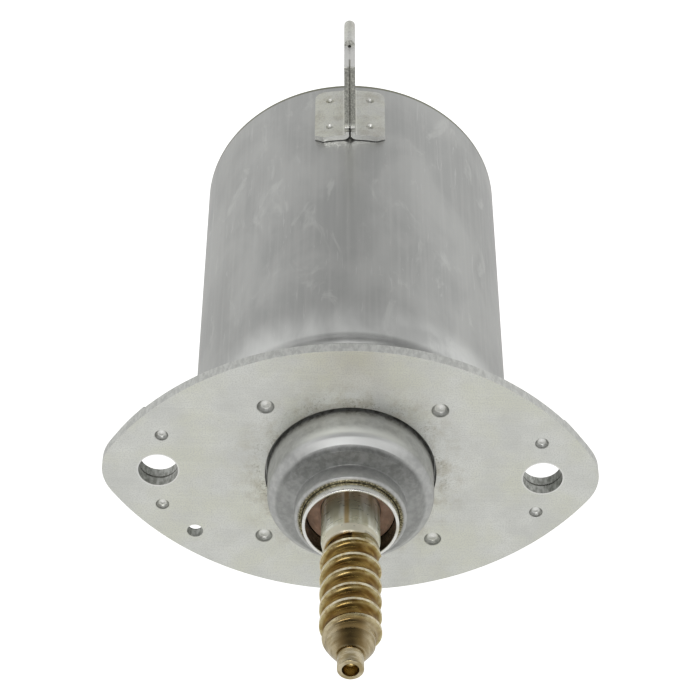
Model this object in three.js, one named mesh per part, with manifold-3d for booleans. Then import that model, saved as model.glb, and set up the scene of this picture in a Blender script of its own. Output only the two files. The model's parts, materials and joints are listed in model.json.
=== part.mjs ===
// Brushed DC actuator motor whose shaft ends in an integral worm. Millimetres.
// X runs along the mounting flange, -Y points out along the shaft to the worm's tip, and +Z is up,
// the side of the folded bracket. The origin is the centre of the flange's front face, on the shaft axis.
// Angles around the shaft are measured from +Z towards +X.
import * as THREE from "three";
import { mergeVertices } from "three/addons/utils/BufferGeometryUtils.js";
import Module from "manifold-3d";

const wasm = await Module();
wasm.setup();

// ---------------------------------------------------------------- driving dimensions

const FIT = 0.1; // gap left between pieces that are pressed or moulded together
const RUN = 0.3; // gap left between pieces that turn past each other

const OVERCUT = 1; // how far a cutting tool reaches past the face it opens
const OVERLAP = 1; // how far two joined pieces reach into each other

const SIDES_LARGE = 60; // facets around the housing and what nests in it
const SIDES_SMALL = 32; // facets around the bearing, seal and shaft fittings
const ARC = { fine: 14, plain: 12, coarse: 6, short: 4 }; // straight pieces in each arc of a flat shape
const CORNER_STEPS = 3; // straight pieces in a quarter-turn corner

const FLANGE = {
  thickness: 2.5,
  sideRadius: 58.8, // the two long arcs
  sideCentre: 26.9, // how far each long arc's centre lies beyond the shaft axis
  endRadius: 10, // the two ends
  endCentre: 40.7,
  noseHole: 17.5,
  boltSpacing: 78.5,
  boltRadius: 4.05,
  drainHole: { x: -31.8, z: -16.3, radius: 1.65 },
};
const WELD = { sides: 10 };
const WELD_LARGE = { x: 17.5, z: 17.2, radius: 1.75, floor: 1.1, depth: 0.7 };
const WELD_SMALL = { x: 38.45, z: 9.2, radius: 1.4, floor: 0.9, depth: 0.6 };

const DOUBLER = { thickness: 2.5, inset: 1, innerX: 33.4, leftHalf: 12.5, rightHalf: 11.5 };

const CAN = {
  radius: 32.5,
  wall: 2.5,
  frontY: FLANGE.thickness,
  rearY: 95.5,
  cornerRadius: 3.2,
  rimRound: 0.4,
  stakeCount: 8,
  stakeWidth: 3,
  stakeDepth: 1.3,
};
const NOSE = {
  radius: 16.9,
  shoulderRadius: 2.6,
  faceY: -9.65,
  ringRootY: -10.5,
  ringRadius: 11.3,
  tipY: -14,
  chamberFrontY: -8,
};

const BEARING = { bore: 6, inside: 8.1, outside: 11.9, outer: 14, frontY: -7.2, width: 8 };
const BALLS = { count: 8, radius: 2.25, pitch: 10, sidesAround: 12, sidesUp: 7 };
const RACEWAY = { depth: 0.55, halfFloor: 0.8, halfMouth: 1.6 };
const CAGE = { inner: 9.2, outer: 10.8, frontY: -6.4, rearY: -2.6 };
const RETAINER = { inner: 12.3, frontY: 0.9, rearY: 2.1 };
const WAVE_WASHER = { inner: 11.8, outer: 13.7, thickness: 0.25, wave: 0.22, crests: 3 };

const SEAL = {
  caseRadius: 9.75,
  caseInside: 9.05,
  caseFrontY: -16.1,
  caseRearY: -9.2,
  caseLip: 8.1,
  frontY: -11.7,
  rearY: -10.8,
  lipRearY: -9.9,
  springRadius: 7.3,
  springWire: 0.4,
  springSides: 5,
};

const SHAFT = {
  neck: 5.9,
  seat: 5.9,
  journal: 4,
  journalY: 91.6,
  rearY: 99,
  pinRadius: 2.6,
  pinRootRadius: 2.9,
  pinRootY: -53,
  tipY: -56.85,
  tipChamfer: 0.35,
  centreHole: 1.65,
  centreDepth: 4,
  shoulderEndY: -23.4,
  reliefRadius: 4.9,
  circlipGrooveY: -8.4,
  circlipGroove: 5.2,
};
const WORM = {
  radius: 6.1,
  root: 4.8,
  pitch: 4.27,
  crestY: -34.9, // a crest's middle on the top of the shaft
  land: 0.1, // half of the flat crest, as a fraction of the pitch
  flank: 0.13, // width of a flank, as a fraction of the pitch
  rearY: -25.7,
  coneY: -47,
  rowsPerTurn: 7,
  sides: 28,
};
const CIRCLIP = { inner: 5.4, outer: 7.5, thickness: 0.8, gap: 0.9 };
const SPACER = { radius: 8, frontY: 0.9, rearY: 16.9 };

const MAGNET = { count: 4, inner: 25.2, outer: 29.7, arc: 66, steps: 14, frontY: 13, rearY: 77 };
const CLIP = { sheet: 0.6, halfWidth: 4.2, inner: 26.2, outer: 29.4, frontY: 18, rearY: 72 };

const CORE = {
  radius: 24.4,
  slots: 12,
  frontY: 18,
  rearY: 72,
  opening: 1.1,
  tipDepth: 1.5,
  slotTop: 22.3,
  slotBottom: 12.6,
  toothHalf: 1.9,
};
const INSULATOR = { thickness: 0.9 };
const WINDING = { gap: 0.3, inner: 9, outer: 22.3, endLength: 6, round: 2 };

const COMMUTATOR = {
  hub: 9,
  radius: 12.2,
  riser: 13.6,
  frontY: 79.5,
  riserRearY: 80.8,
  rearY: 90.5,
  hubFrontY: 79.2,
  hubRearY: 91,
  slotWidth: 0.7,
  slotDepth: 1.2,
};

const BRUSH = { wide: 7, long: 6, centreY: 84.8, gap: 0.3, outer: 20.8, count: 4, wall: 0.8 };
const HOLDER = { inner: 13.9, outer: 28 };
const BRUSH_SPRING = { coil: 2, wire: 0.35, wireSides: 5, turns: 3.5, stepsPerTurn: 7 };
const CARRIER = { inner: 14.4, outer: 29.4, frontY: 88.9, rearY: 91.6 };
const CHOKE = {
  distance: 22.5,
  length: 12,
  bareEnd: 1,
  core: 1.6,
  coil: 2.7,
  turns: 4,
  sides: 8,
  clearance: 0.2,
};

const CAP = {
  radius: 29.7,
  frontY: 91.9,
  backY: 94.7,
  bossRadius: 9.8,
  bossY: 101.4,
  bossChamfer: 1,
  bushPocket: 7.6,
  bushPocketY: 99.6,
  ribs: 8,
  ribHalf: 0.7,
  ribHeight: 2.2,
  ribOuter: 26.7,
};
const CAP_SEAL = { groove: 28.2, frontY: 92.7, rearY: 94.1 };
const BUSH = { bore: 4.3, outer: 7.5, frontY: 94, rearY: 99.2, crown: 1.1 };
const BUSH_CLIP = { inner: 5, frontY: 92.9, rearY: 93.5 };
const THRUST_WASHER = { outer: 6.6, frontY: 91.15, rearY: 91.5 };
const SOCKET = {
  z: -18.6,
  halfWide: 11,
  halfHigh: 6.5,
  wall: 1.7,
  rearY: 110.5,
  floorY: 98,
  latch: { halfWide: 3, height: 1.5, frontY: 102, rearY: 106 },
};
const TERMINAL = { x: 4.2, halfWide: 1.4, halfThick: 0.4, rearY: 107.5 };

const BRACKET = {
  angle: -1.9,
  sheet: 1.2,
  web: 2.35,
  footHalf: 7.65,
  footTrim: 1, // extra degrees of the bent foot on each side, cut away by its plan
  standOff: 0.15,
  frontY: 73.5,
  rearY: 91.3,
  cornerX: 1.8,
  cornerY: 1.3,
  rearRound: 2,
  webFrontY: 75,
  webRearY: 90.5,
  shoulderZ: 50.3,
  ridgeY: 81,
  ridgeZ: 52.4,
  hole: { y: 84, z: 44.5, radius: 3.5 },
};

const MATERIALS = {
  grey_steel: { color: 0x8b8c8e, roughness: 0.42, metalness: 0.9 },
  plated_steel: { color: 0xc4c7c0, roughness: 0.45, metalness: 0.85 },
  bright_steel: { color: 0xd0d0ce, roughness: 0.2, metalness: 1 },
  worm_steel: { color: 0xa08a56, roughness: 0.28, metalness: 1 },
  bearing_steel: { color: 0xb8bbbe, roughness: 0.22, metalness: 1 },
  spring_steel: { color: 0x8f9194, roughness: 0.35, metalness: 1 },
  seal_rubber: { color: 0x7a4f48, roughness: 0.6, metalness: 0 },
  ferrite: { color: 0x37373a, roughness: 0.75, metalness: 0 },
  laminations: { color: 0x6c6e70, roughness: 0.5, metalness: 0.8 },
  fibre_board: { color: 0x4c6b58, roughness: 0.8, metalness: 0 },
  enamelled_copper: { color: 0x9a4d22, roughness: 0.35, metalness: 0.7 },
  copper: { color: 0xb8734a, roughness: 0.35, metalness: 1 },
  moulding: { color: 0x26262a, roughness: 0.6, metalness: 0 },
  carbon: { color: 0x2e2c2b, roughness: 0.7, metalness: 0.2 },
  brass: { color: 0xb99a52, roughness: 0.35, metalness: 1 },
  bronze: { color: 0x9c7440, roughness: 0.5, metalness: 0.9 },
  nylon: { color: 0xd8cfb4, roughness: 0.5, metalness: 0 },
};

// ---------------------------------------------------------------- geometry helpers

const radians = THREE.MathUtils.degToRad;
const FULL_TURN = 2 * Math.PI;
const MERGE_DISTANCE = 1e-4;

// One closed mesh: shared vertices merged and triangles that collapsed to a line removed.
function closed(geometry) {
  geometry.deleteAttribute("normal");
  geometry.deleteAttribute("uv");
  const merged = mergeVertices(geometry, MERGE_DISTANCE);
  const index = merged.index.array;
  const kept = [];
  for (let i = 0; i < index.length; i += 3) {
    const [a, b, c] = index.slice(i, i + 3);
    if (a !== b && b !== c && c !== a) kept.push(a, b, c);
  }
  merged.setIndex(kept);
  return merged;
}

function solid(geometry) {
  const mesh = closed(geometry);
  return new wasm.Manifold(
    new wasm.Mesh({
      numProp: 3,
      vertProperties: new Float32Array(mesh.attributes.position.array),
      triVerts: new Uint32Array(mesh.index.array),
    }),
  );
}

function geometryOf(manifold) {
  const mesh = manifold.getMesh();
  const geometry = new THREE.BufferGeometry();
  geometry.setAttribute("position", new THREE.BufferAttribute(mesh.vertProperties, 3));
  geometry.setIndex(Array.from(mesh.triVerts));
  return geometry;
}

function joined(first, ...others) {
  return geometryOf(others.reduce((sum, other) => sum.add(solid(other)), solid(first)));
}

function cut(first, ...tools) {
  return geometryOf(tools.reduce((rest, tool) => rest.subtract(solid(tool)), solid(first)));
}

// Anticlockwise outline, so that the faces made from it point outwards.
function anticlockwise(points) {
  return THREE.ShapeUtils.isClockWise(points) ? points.slice().reverse() : points;
}

// A solid of revolution about the shaft axis. Each corner is [radius, y].
function turned(corners, sides = SIDES_SMALL) {
  const points = anticlockwise(corners.map(([radius, y]) => new THREE.Vector2(radius, y)));
  const onAxis = points.filter((point) => point.x === 0).length;
  if (onAxis === 0) {
    points.push(points[0].clone());
    return new THREE.LatheGeometry(points, sides);
  }
  while (points[0].x !== 0 || points[points.length - 1].x !== 0) points.push(points.shift());
  return new THREE.LatheGeometry(points, sides);
}

function ring(inner, outer, frontY, rearY, sides = SIDES_SMALL) {
  return turned([[inner, frontY], [outer, frontY], [outer, rearY], [inner, rearY]], sides);
}

// Corners of a quarter turn from angle `from` to angle `to`, in the radius and y plane.
function cornerArc(centreRadius, centreY, radius, from, to, steps) {
  const corners = [];
  for (let i = 0; i <= steps; i += 1) {
    const angle = radians(THREE.MathUtils.lerp(from, to, i / steps));
    corners.push([centreRadius + radius * Math.cos(angle), centreY + radius * Math.sin(angle)]);
  }
  return corners;
}

// A [radius, y] outline swept through part of a turn, closed by flat ends.
function sector(corners, middle, sweep, steps) {
  const outline = anticlockwise(corners.map(([radius, y]) => new THREE.Vector2(radius, y)));
  const count = outline.length;
  const positions = [];
  for (let i = 0; i <= steps; i += 1) {
    const angle = radians(middle - sweep / 2 + (sweep * i) / steps);
    outline.forEach(({ x, y }) => positions.push(x * Math.sin(angle), y, x * Math.cos(angle)));
  }
  const faces = [];
  for (let i = 0; i < steps; i += 1) {
    for (let j = 0; j < count; j += 1) {
      const a = i * count + j;
      const b = i * count + ((j + 1) % count);
      faces.push(a, a + count, b, a + count, b + count, b);
    }
  }
  const last = steps * count;
  THREE.ShapeUtils.triangulateShape(outline, []).forEach(([a, b, c]) => {
    faces.push(a, b, c);
    faces.push(last + c, last + b, last + a);
  });
  const geometry = new THREE.BufferGeometry();
  geometry.setAttribute("position", new THREE.Float32BufferAttribute(positions, 3));
  geometry.setIndex(faces);
  return geometry;
}

// A flat shape drawn in X and Z, given thickness along the shaft.
function plate(shape, frontY, rearY, curveSegments = ARC.coarse) {
  const geometry = new THREE.ExtrudeGeometry(shape, {
    depth: rearY - frontY,
    bevelEnabled: false,
    curveSegments,
  });
  return geometry.rotateX(Math.PI / 2).translate(0, rearY, 0);
}

function block(minimum, maximum) {
  const low = new THREE.Vector3(...minimum);
  const high = new THREE.Vector3(...maximum);
  const size = high.clone().sub(low);
  const centre = low.add(high).multiplyScalar(0.5);
  return new THREE.BoxGeometry(size.x, size.y, size.z).translate(centre.x, centre.y, centre.z);
}

function circleHole(x, z, radius) {
  const path = new THREE.Path();
  path.absarc(x, z, radius, 0, FULL_TURN, true);
  return path;
}

function polar(radius, angle) {
  return new THREE.Vector2(radius * Math.sin(angle), radius * Math.cos(angle));
}

const assembly = new THREE.Group();

function add(name, geometry, materialName) {
  const mesh = new THREE.Mesh(closed(geometry), new THREE.MeshStandardMaterial(MATERIALS[materialName]));
  mesh.name = name;
  assembly.add(mesh);
  return mesh;
}

// ---------------------------------------------------------------- mounting flange and doublers

// The lens outline: two long arcs that run tangent into two end arcs, all set in by `inset`.
function lensOutline(inset) {
  const { sideRadius, sideCentre, endRadius, endCentre } = FLANGE;
  const tangent = Math.atan2(sideCentre, endCentre);
  const shape = new THREE.Shape();
  shape.absarc(0, -sideCentre, sideRadius - inset, tangent, Math.PI - tangent, false);
  shape.absarc(-endCentre, 0, endRadius - inset, Math.PI - tangent, Math.PI + tangent, false);
  shape.absarc(0, sideCentre, sideRadius - inset, Math.PI + tangent, FULL_TURN - tangent, false);
  shape.absarc(endCentre, 0, endRadius - inset, -tangent, tangent, false);
  return shape;
}

// The punch that leaves a dimple in the front face where a projection weld was made.
function weldPunch(weld, signX, signZ) {
  const corners = [
    [0, -OVERCUT],
    [weld.radius, -OVERCUT],
    [weld.radius, 0],
    [weld.floor, weld.depth],
    [0, weld.depth],
  ];
  const punch = turned(corners, WELD.sides);
  return punch.translate(signX * weld.x, 0, signZ * weld.z);
}

function mountingFlange() {
  const shape = lensOutline(0);
  const { x, z, radius } = FLANGE.drainHole;
  shape.holes.push(circleHole(0, 0, FLANGE.noseHole));
  shape.holes.push(circleHole(-FLANGE.boltSpacing / 2, 0, FLANGE.boltRadius));
  shape.holes.push(circleHole(FLANGE.boltSpacing / 2, 0, FLANGE.boltRadius));
  shape.holes.push(circleHole(x, z, radius));
  const punches = [];
  for (const weld of [WELD_LARGE, WELD_SMALL]) {
    for (const signX of [-1, 1]) {
      for (const signZ of [-1, 1]) punches.push(weldPunch(weld, signX, signZ));
    }
  }
  return cut(plate(shape, 0, FLANGE.thickness, ARC.fine), ...punches);
}

// A plate behind one ear, on side -1 or 1, its inner edge straight and its tip following the flange.
function earDoubler(side, half) {
  const { sideRadius, sideCentre, endRadius, endCentre } = FLANGE;
  const tangent = Math.atan2(sideCentre, endCentre);
  const sideArc = sideRadius - DOUBLER.inset;
  const start = Math.asin((half + sideCentre) / sideArc);
  const shape = new THREE.Shape();
  shape.moveTo(DOUBLER.innerX, -half);
  shape.lineTo(sideArc * Math.cos(start), -half);
  shape.absarc(0, sideCentre, sideArc, -start, -tangent, false);
  shape.absarc(endCentre, 0, endRadius - DOUBLER.inset, -tangent, tangent, false);
  shape.absarc(0, -sideCentre, sideArc, tangent, start, false);
  shape.lineTo(DOUBLER.innerX, half);
  shape.holes.push(circleHole(FLANGE.boltSpacing / 2, 0, FLANGE.boltRadius));
  const frontY = FLANGE.thickness;
  const rearY = frontY + DOUBLER.thickness;
  const geometry = plate(shape, frontY, rearY, ARC.plain);
  return side > 0 ? geometry : geometry.rotateZ(Math.PI).translate(0, frontY + rearY, 0);
}

add("mounting_flange", mountingFlange(), "plated_steel");
add("ear_doubler_left", earDoubler(-1, DOUBLER.leftHalf), "plated_steel");
add("ear_doubler_right", earDoubler(1, DOUBLER.rightHalf), "plated_steel");

// ---------------------------------------------------------------- pole housing

// Deep-drawn cup: nose, front wall, corner and barrel outside, then back along the inside.
function poleHousing() {
  const { radius, wall, frontY, rearY, cornerRadius, rimRound } = CAN;
  const inside = radius - wall;
  const shoulder = NOSE.shoulderRadius;
  const barrelY = frontY + FIT;
  const corners = [
    [SEAL.caseRadius + FIT, NOSE.tipY],
    [NOSE.ringRadius, NOSE.tipY],
    [NOSE.ringRadius, NOSE.ringRootY],
    ...cornerArc(NOSE.radius - shoulder, NOSE.faceY + shoulder, shoulder, -90, 0, CORNER_STEPS),
    [NOSE.radius, barrelY],
    ...cornerArc(radius - cornerRadius, barrelY + cornerRadius, cornerRadius, -90, 0, CORNER_STEPS),
    [radius, rearY - rimRound],
    [radius - rimRound, rearY],
    [inside, rearY],
    [inside, frontY + wall],
    [BEARING.outer + FIT, frontY + wall],
    [BEARING.outer + FIT, NOSE.chamberFrontY],
    [SEAL.caseRadius + FIT, NOSE.chamberFrontY],
  ];
  const cup = turned(corners, SIDES_LARGE);
  const stakes = [];
  for (let i = 0; i < CAN.stakeCount; i += 1) {
    const low = [-CAN.stakeWidth / 2, CAP.backY + FIT, inside - CAN.stakeDepth];
    const high = [CAN.stakeWidth / 2, rearY - FIT, inside + FIT];
    stakes.push(block(low, high).rotateY((FULL_TURN * (i + 0.5)) / CAN.stakeCount));
  }
  return joined(cup, ...stakes);
}

add("pole_housing", poleHousing(), "grey_steel");

// ---------------------------------------------------------------- folded bracket on the housing

function rearBracket() {
  const { sheet, web, footHalf, frontY, rearY, cornerX, cornerY, rearRound, hole } = BRACKET;
  const inner = CAN.radius + BRACKET.standOff;
  const outer = inner + sheet;
  const half = Math.asin(footHalf / inner) + radians(BRACKET.footTrim);
  const band = new THREE.Shape();
  band.absarc(0, 0, outer, Math.PI / 2 - half, Math.PI / 2 + half, false);
  band.absarc(0, 0, inner, Math.PI / 2 + half, Math.PI / 2 - half, true);
  const footPlan = new THREE.Shape();
  footPlan.moveTo(-footHalf + cornerX, frontY);
  footPlan.lineTo(footHalf - cornerX, frontY);
  footPlan.lineTo(footHalf, frontY + cornerY);
  footPlan.absarc(footHalf - rearRound, rearY - rearRound, rearRound, 0, Math.PI / 2, false);
  footPlan.absarc(-footHalf + rearRound, rearY - rearRound, rearRound, Math.PI / 2, Math.PI, false);
  footPlan.lineTo(-footHalf, frontY + cornerY);
  const planBlock = new THREE.ExtrudeGeometry(footPlan, {
    depth: outer,
    bevelEnabled: false,
    curveSegments: CORNER_STEPS,
  });
  const feet = solid(plate(band, frontY, rearY)).intersect(solid(planBlock));
  const side = new THREE.Shape();
  side.moveTo(BRACKET.webFrontY, outer - sheet / 2);
  side.lineTo(BRACKET.webRearY, outer - sheet / 2);
  side.lineTo(BRACKET.webRearY, BRACKET.ridgeZ);
  side.lineTo(BRACKET.ridgeY, BRACKET.ridgeZ);
  side.lineTo(BRACKET.webFrontY, BRACKET.shoulderZ);
  side.holes.push(circleHole(hole.y, hole.z, hole.radius));
  const webPlate = new THREE.ExtrudeGeometry(side, {
    depth: web,
    bevelEnabled: false,
    curveSegments: ARC.coarse,
  });
  const lengthwise = new THREE.Matrix4().makeBasis(
    new THREE.Vector3(0, 1, 0),
    new THREE.Vector3(0, 0, 1),
    new THREE.Vector3(1, 0, 0),
  );
  webPlate.applyMatrix4(lengthwise).translate(-web / 2, 0, 0);
  return geometryOf(feet.add(solid(webPlate))).rotateY(radians(BRACKET.angle));
}

add("rear_bracket", rearBracket(), "plated_steel");

// ---------------------------------------------------------------- front bearing and shaft seal

const bearingRearY = BEARING.frontY + BEARING.width;
const ballY = BEARING.frontY + BEARING.width / 2;

// A race with a groove for the balls. `back` is the plain side, and `face` is the side that is grooved.
function bearingRace(back, face) {
  const depth = Math.sign(back - face) * RACEWAY.depth;
  return turned([
    [back, BEARING.frontY],
    [back, bearingRearY],
    [face, bearingRearY],
    [face, ballY + RACEWAY.halfMouth],
    [face + depth, ballY + RACEWAY.halfFloor],
    [face + depth, ballY - RACEWAY.halfFloor],
    [face, ballY - RACEWAY.halfMouth],
    [face, BEARING.frontY],
  ]);
}

add("front_bearing_outer_race", bearingRace(BEARING.outer, BEARING.outside), "bearing_steel");
add("front_bearing_inner_race", bearingRace(BEARING.bore, BEARING.inside), "bearing_steel");

function ball(radius, index) {
  const geometry = new THREE.SphereGeometry(radius, BALLS.sidesAround, BALLS.sidesUp);
  return geometry.translate(0, ballY, BALLS.pitch).rotateY((FULL_TURN * index) / BALLS.count);
}

function bearingCage() {
  const pockets = [];
  for (let i = 0; i < BALLS.count; i += 1) pockets.push(ball(BALLS.radius + RUN, i));
  return cut(ring(CAGE.inner, CAGE.outer, CAGE.frontY, CAGE.rearY), ...pockets);
}

add("bearing_cage", bearingCage(), "nylon");
for (let i = 0; i < BALLS.count; i += 1) {
  add(`bearing_ball_${i + 1}`, ball(BALLS.radius, i), "bearing_steel");
}

add(
  "bearing_retaining_ring",
  ring(RETAINER.inner, BEARING.outer, RETAINER.frontY, RETAINER.rearY),
  "spring_steel",
);

// A thin washer whose faces rise and fall, so that it preloads the bearing.
function waveWasher() {
  const middleY = (NOSE.chamberFrontY + BEARING.frontY) / 2;
  const half = WAVE_WASHER.thickness / 2;
  const geometry = ring(WAVE_WASHER.inner, WAVE_WASHER.outer, middleY - half, middleY + half);
  const position = geometry.attributes.position;
  for (let i = 0; i < position.count; i += 1) {
    const angle = Math.atan2(position.getX(i), position.getZ(i));
    position.setY(i, position.getY(i) + WAVE_WASHER.wave * Math.cos(WAVE_WASHER.crests * angle));
  }
  return geometry;
}

add("wave_washer", waveWasher(), "spring_steel");

add(
  "seal_case",
  turned([
    [SEAL.caseInside, SEAL.caseFrontY],
    [SEAL.caseRadius, SEAL.caseFrontY],
    [SEAL.caseRadius, SEAL.caseRearY],
    [SEAL.caseLip, SEAL.caseRearY],
    [SEAL.caseLip, SEAL.lipRearY + FIT],
    [SEAL.caseInside, SEAL.lipRearY + FIT],
  ]),
  "bright_steel",
);
add(
  "shaft_seal",
  turned([
    [SHAFT.neck + RUN, SEAL.frontY + RUN],
    [SHAFT.neck + 2 * RUN, SEAL.frontY],
    [SEAL.caseInside - FIT, SEAL.frontY],
    [SEAL.caseInside - FIT, SEAL.rearY],
    [SHAFT.neck + 3 * RUN, SEAL.rearY],
    [SHAFT.neck + 3 * RUN, SEAL.lipRearY],
    [SHAFT.neck + RUN, SEAL.lipRearY],
  ]),
  "seal_rubber",
);

// The spring's wire has a few flat sides, so its last corner stops one side short of a full turn.
function garterSpring() {
  const { springRadius, springWire, springSides, lipRearY } = SEAL;
  const lastCorner = 360 - 360 / springSides;
  return turned(cornerArc(springRadius, lipRearY - springWire, springWire, 0, lastCorner, springSides - 1));
}

add("seal_garter_spring", garterSpring(), "spring_steel");

// ---------------------------------------------------------------- worm shaft

// How far the thread is cut below the worm's outside, 0 on a crest and 1 in the groove.
function threadCut(y, angle) {
  const turns = (y - WORM.crestY) / WORM.pitch - angle / FULL_TURN;
  const fromCrest = Math.abs(turns - Math.round(turns));
  return THREE.MathUtils.clamp((fromCrest - WORM.land) / WORM.flank, 0, 1);
}

function wormShaft() {
  const tipRadius = SHAFT.pinRadius - SHAFT.tipChamfer;
  const grooveRearY = BEARING.frontY - FIT;
  const corners = [
    [0, SHAFT.tipY + SHAFT.centreDepth],
    [SHAFT.centreHole, SHAFT.tipY + SHAFT.centreDepth - SHAFT.centreHole],
    [SHAFT.centreHole, SHAFT.tipY],
    [tipRadius, SHAFT.tipY],
    [SHAFT.pinRadius, SHAFT.tipY + SHAFT.tipChamfer],
    [SHAFT.pinRadius, SHAFT.pinRootY],
    [SHAFT.pinRootRadius, SHAFT.pinRootY],
  ];
  const step = WORM.pitch / WORM.rowsPerTurn;
  for (let y = SHAFT.pinRootY + step; y < WORM.rearY; y += step) {
    const along = Math.min((y - SHAFT.pinRootY) / (WORM.coneY - SHAFT.pinRootY), 1);
    corners.push([THREE.MathUtils.lerp(SHAFT.pinRootRadius, WORM.radius, along), y]);
  }
  corners.push(
    [WORM.radius, WORM.rearY],
    [SHAFT.reliefRadius, WORM.rearY + RUN],
    [SHAFT.reliefRadius, SHAFT.shoulderEndY - RUN],
    [SHAFT.neck, SHAFT.shoulderEndY + RUN],
    [SHAFT.neck, SHAFT.circlipGrooveY],
    [SHAFT.circlipGroove, SHAFT.circlipGrooveY],
    [SHAFT.circlipGroove, grooveRearY],
    [SHAFT.seat, grooveRearY],
    [SHAFT.seat, SHAFT.journalY],
    [SHAFT.journal, SHAFT.journalY],
    [SHAFT.journal, SHAFT.rearY],
    [0, SHAFT.rearY],
  );
  const geometry = turned(corners, WORM.sides);
  const position = geometry.attributes.position;
  const threadEnd = WORM.rearY + FIT;
  for (let i = 0; i < position.count; i += 1) {
    const [x, y, z] = [position.getX(i), position.getY(i), position.getZ(i)];
    const radius = Math.hypot(x, z);
    if (y <= threadEnd && y > SHAFT.pinRootY && radius > WORM.root) {
      const scale = 1 - (threadCut(y, Math.atan2(x, z)) * (radius - WORM.root)) / radius;
      position.setXYZ(i, x * scale, y, z * scale);
    }
  }
  return geometry;
}

add("worm_shaft", wormShaft(), "worm_steel");

// An open ring that springs into the shaft's groove, ahead of the bearing.
function shaftCirclip() {
  const gap = CIRCLIP.gap / CIRCLIP.inner;
  const shape = new THREE.Shape();
  shape.absarc(0, 0, CIRCLIP.outer, gap, FULL_TURN - gap, false);
  shape.absarc(0, 0, CIRCLIP.inner, FULL_TURN - gap, gap, true);
  const rearY = BEARING.frontY - 2 * FIT;
  return plate(shape, rearY - CIRCLIP.thickness, rearY, ARC.plain);
}

add("shaft_circlip", shaftCirclip(), "spring_steel");
add("armature_spacer", ring(SHAFT.seat + FIT, SPACER.radius, SPACER.frontY, SPACER.rearY), "bright_steel");

// ---------------------------------------------------------------- magnets and their clips

for (let i = 0; i < MAGNET.count; i += 1) {
  const middle = (360 / MAGNET.count) * (i + 0.5);
  const outline = [
    [MAGNET.inner, MAGNET.frontY],
    [MAGNET.outer, MAGNET.frontY],
    [MAGNET.outer, MAGNET.rearY],
    [MAGNET.inner, MAGNET.rearY],
  ];
  add(`magnet_${i + 1}`, sector(outline, middle, MAGNET.arc, MAGNET.steps), "ferrite");
}

// A U of spring sheet between two magnets, open towards the armature.
function magnetClip(index) {
  const { sheet, halfWidth, inner, outer, frontY, rearY } = CLIP;
  const shape = new THREE.Shape();
  shape.moveTo(-halfWidth, inner);
  shape.lineTo(-halfWidth + sheet, inner);
  shape.lineTo(-halfWidth + sheet, outer - sheet);
  shape.lineTo(halfWidth - sheet, outer - sheet);
  shape.lineTo(halfWidth - sheet, inner);
  shape.lineTo(halfWidth, inner);
  shape.lineTo(halfWidth, outer);
  shape.lineTo(-halfWidth, outer);
  return plate(shape, frontY, rearY).rotateY((FULL_TURN * index) / MAGNET.count);
}

for (let i = 0; i < MAGNET.count; i += 1) add(`magnet_clip_${i + 1}`, magnetClip(i), "spring_steel");

// ---------------------------------------------------------------- armature

// The slotted outline shared by the laminations and the end insulators.
function slottedOutline(tipped) {
  const pitch = FULL_TURN / CORE.slots;
  const opening = Math.asin(CORE.opening / CORE.radius);
  const top = pitch / 2 - Math.asin(CORE.toothHalf / CORE.slotTop);
  const bottom = pitch / 2 - Math.asin(CORE.toothHalf / CORE.slotBottom);
  const tip = CORE.radius - CORE.tipDepth;
  const halfSlot = tipped
    ? [[CORE.slotBottom, bottom], [CORE.slotTop, top], [tip, opening], [CORE.radius, opening]]
    : [[CORE.slotBottom, bottom], [CORE.slotTop, top]];
  const points = [];
  for (let i = 0; i < CORE.slots; i += 1) {
    const middle = i * pitch;
    halfSlot.slice().reverse().forEach(([radius, angle]) => points.push(polar(radius, middle - angle)));
    halfSlot.forEach(([radius, angle]) => points.push(polar(radius, middle + angle)));
    if (tipped) points.push(polar(CORE.radius, middle + pitch / 2));
  }
  const shape = new THREE.Shape(anticlockwise(points));
  shape.holes.push(circleHole(0, 0, SHAFT.seat + 2 * FIT));
  return shape;
}

add("armature_core", plate(slottedOutline(true), CORE.frontY, CORE.rearY, ARC.plain), "laminations");
const frontBoardY = CORE.frontY - FIT - INSULATOR.thickness;
const rearBoardY = CORE.rearY + FIT;
add(
  "insulator_front",
  plate(slottedOutline(false), frontBoardY, frontBoardY + INSULATOR.thickness, ARC.plain),
  "fibre_board",
);
add(
  "insulator_rear",
  plate(slottedOutline(false), rearBoardY, rearBoardY + INSULATOR.thickness, ARC.plain),
  "fibre_board",
);

// End turns in front of and behind the core, joined by the bundle of wires in each slot.
function armatureWinding() {
  const { gap, inner, outer, endLength, round } = WINDING;
  const endTurns = (frontY) => turned([
    [inner + round, frontY],
    [outer - round, frontY],
    [outer, frontY + round],
    [outer, frontY + endLength - round],
    [outer - round, frontY + endLength],
    [inner + round, frontY + endLength],
    [inner, frontY + endLength - round],
    [inner, frontY + round],
  ]);
  const frontY = frontBoardY - FIT - endLength;
  const rearY = rearBoardY + INSULATOR.thickness + FIT;
  const pitch = FULL_TURN / CORE.slots;
  const bundles = [];
  for (let i = 0; i < CORE.slots; i += 1) {
    const corner = (radius, side) => {
      const half = pitch / 2 - Math.asin((CORE.toothHalf + gap) / radius);
      return polar(radius, i * pitch + side * half);
    };
    const low = CORE.slotBottom + gap;
    const high = CORE.slotTop - gap;
    const shape = new THREE.Shape([corner(low, -1), corner(high, -1), corner(high, 1), corner(low, 1)]);
    bundles.push(plate(shape, frontY + endLength / 2, rearY + endLength / 2));
  }
  return joined(endTurns(frontY), endTurns(rearY), ...bundles);
}

add("armature_winding", armatureWinding(), "enamelled_copper");

// ---------------------------------------------------------------- commutator

add(
  "commutator_hub",
  ring(SHAFT.seat + FIT, COMMUTATOR.hub, COMMUTATOR.hubFrontY, COMMUTATOR.hubRearY),
  "moulding",
);

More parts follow.
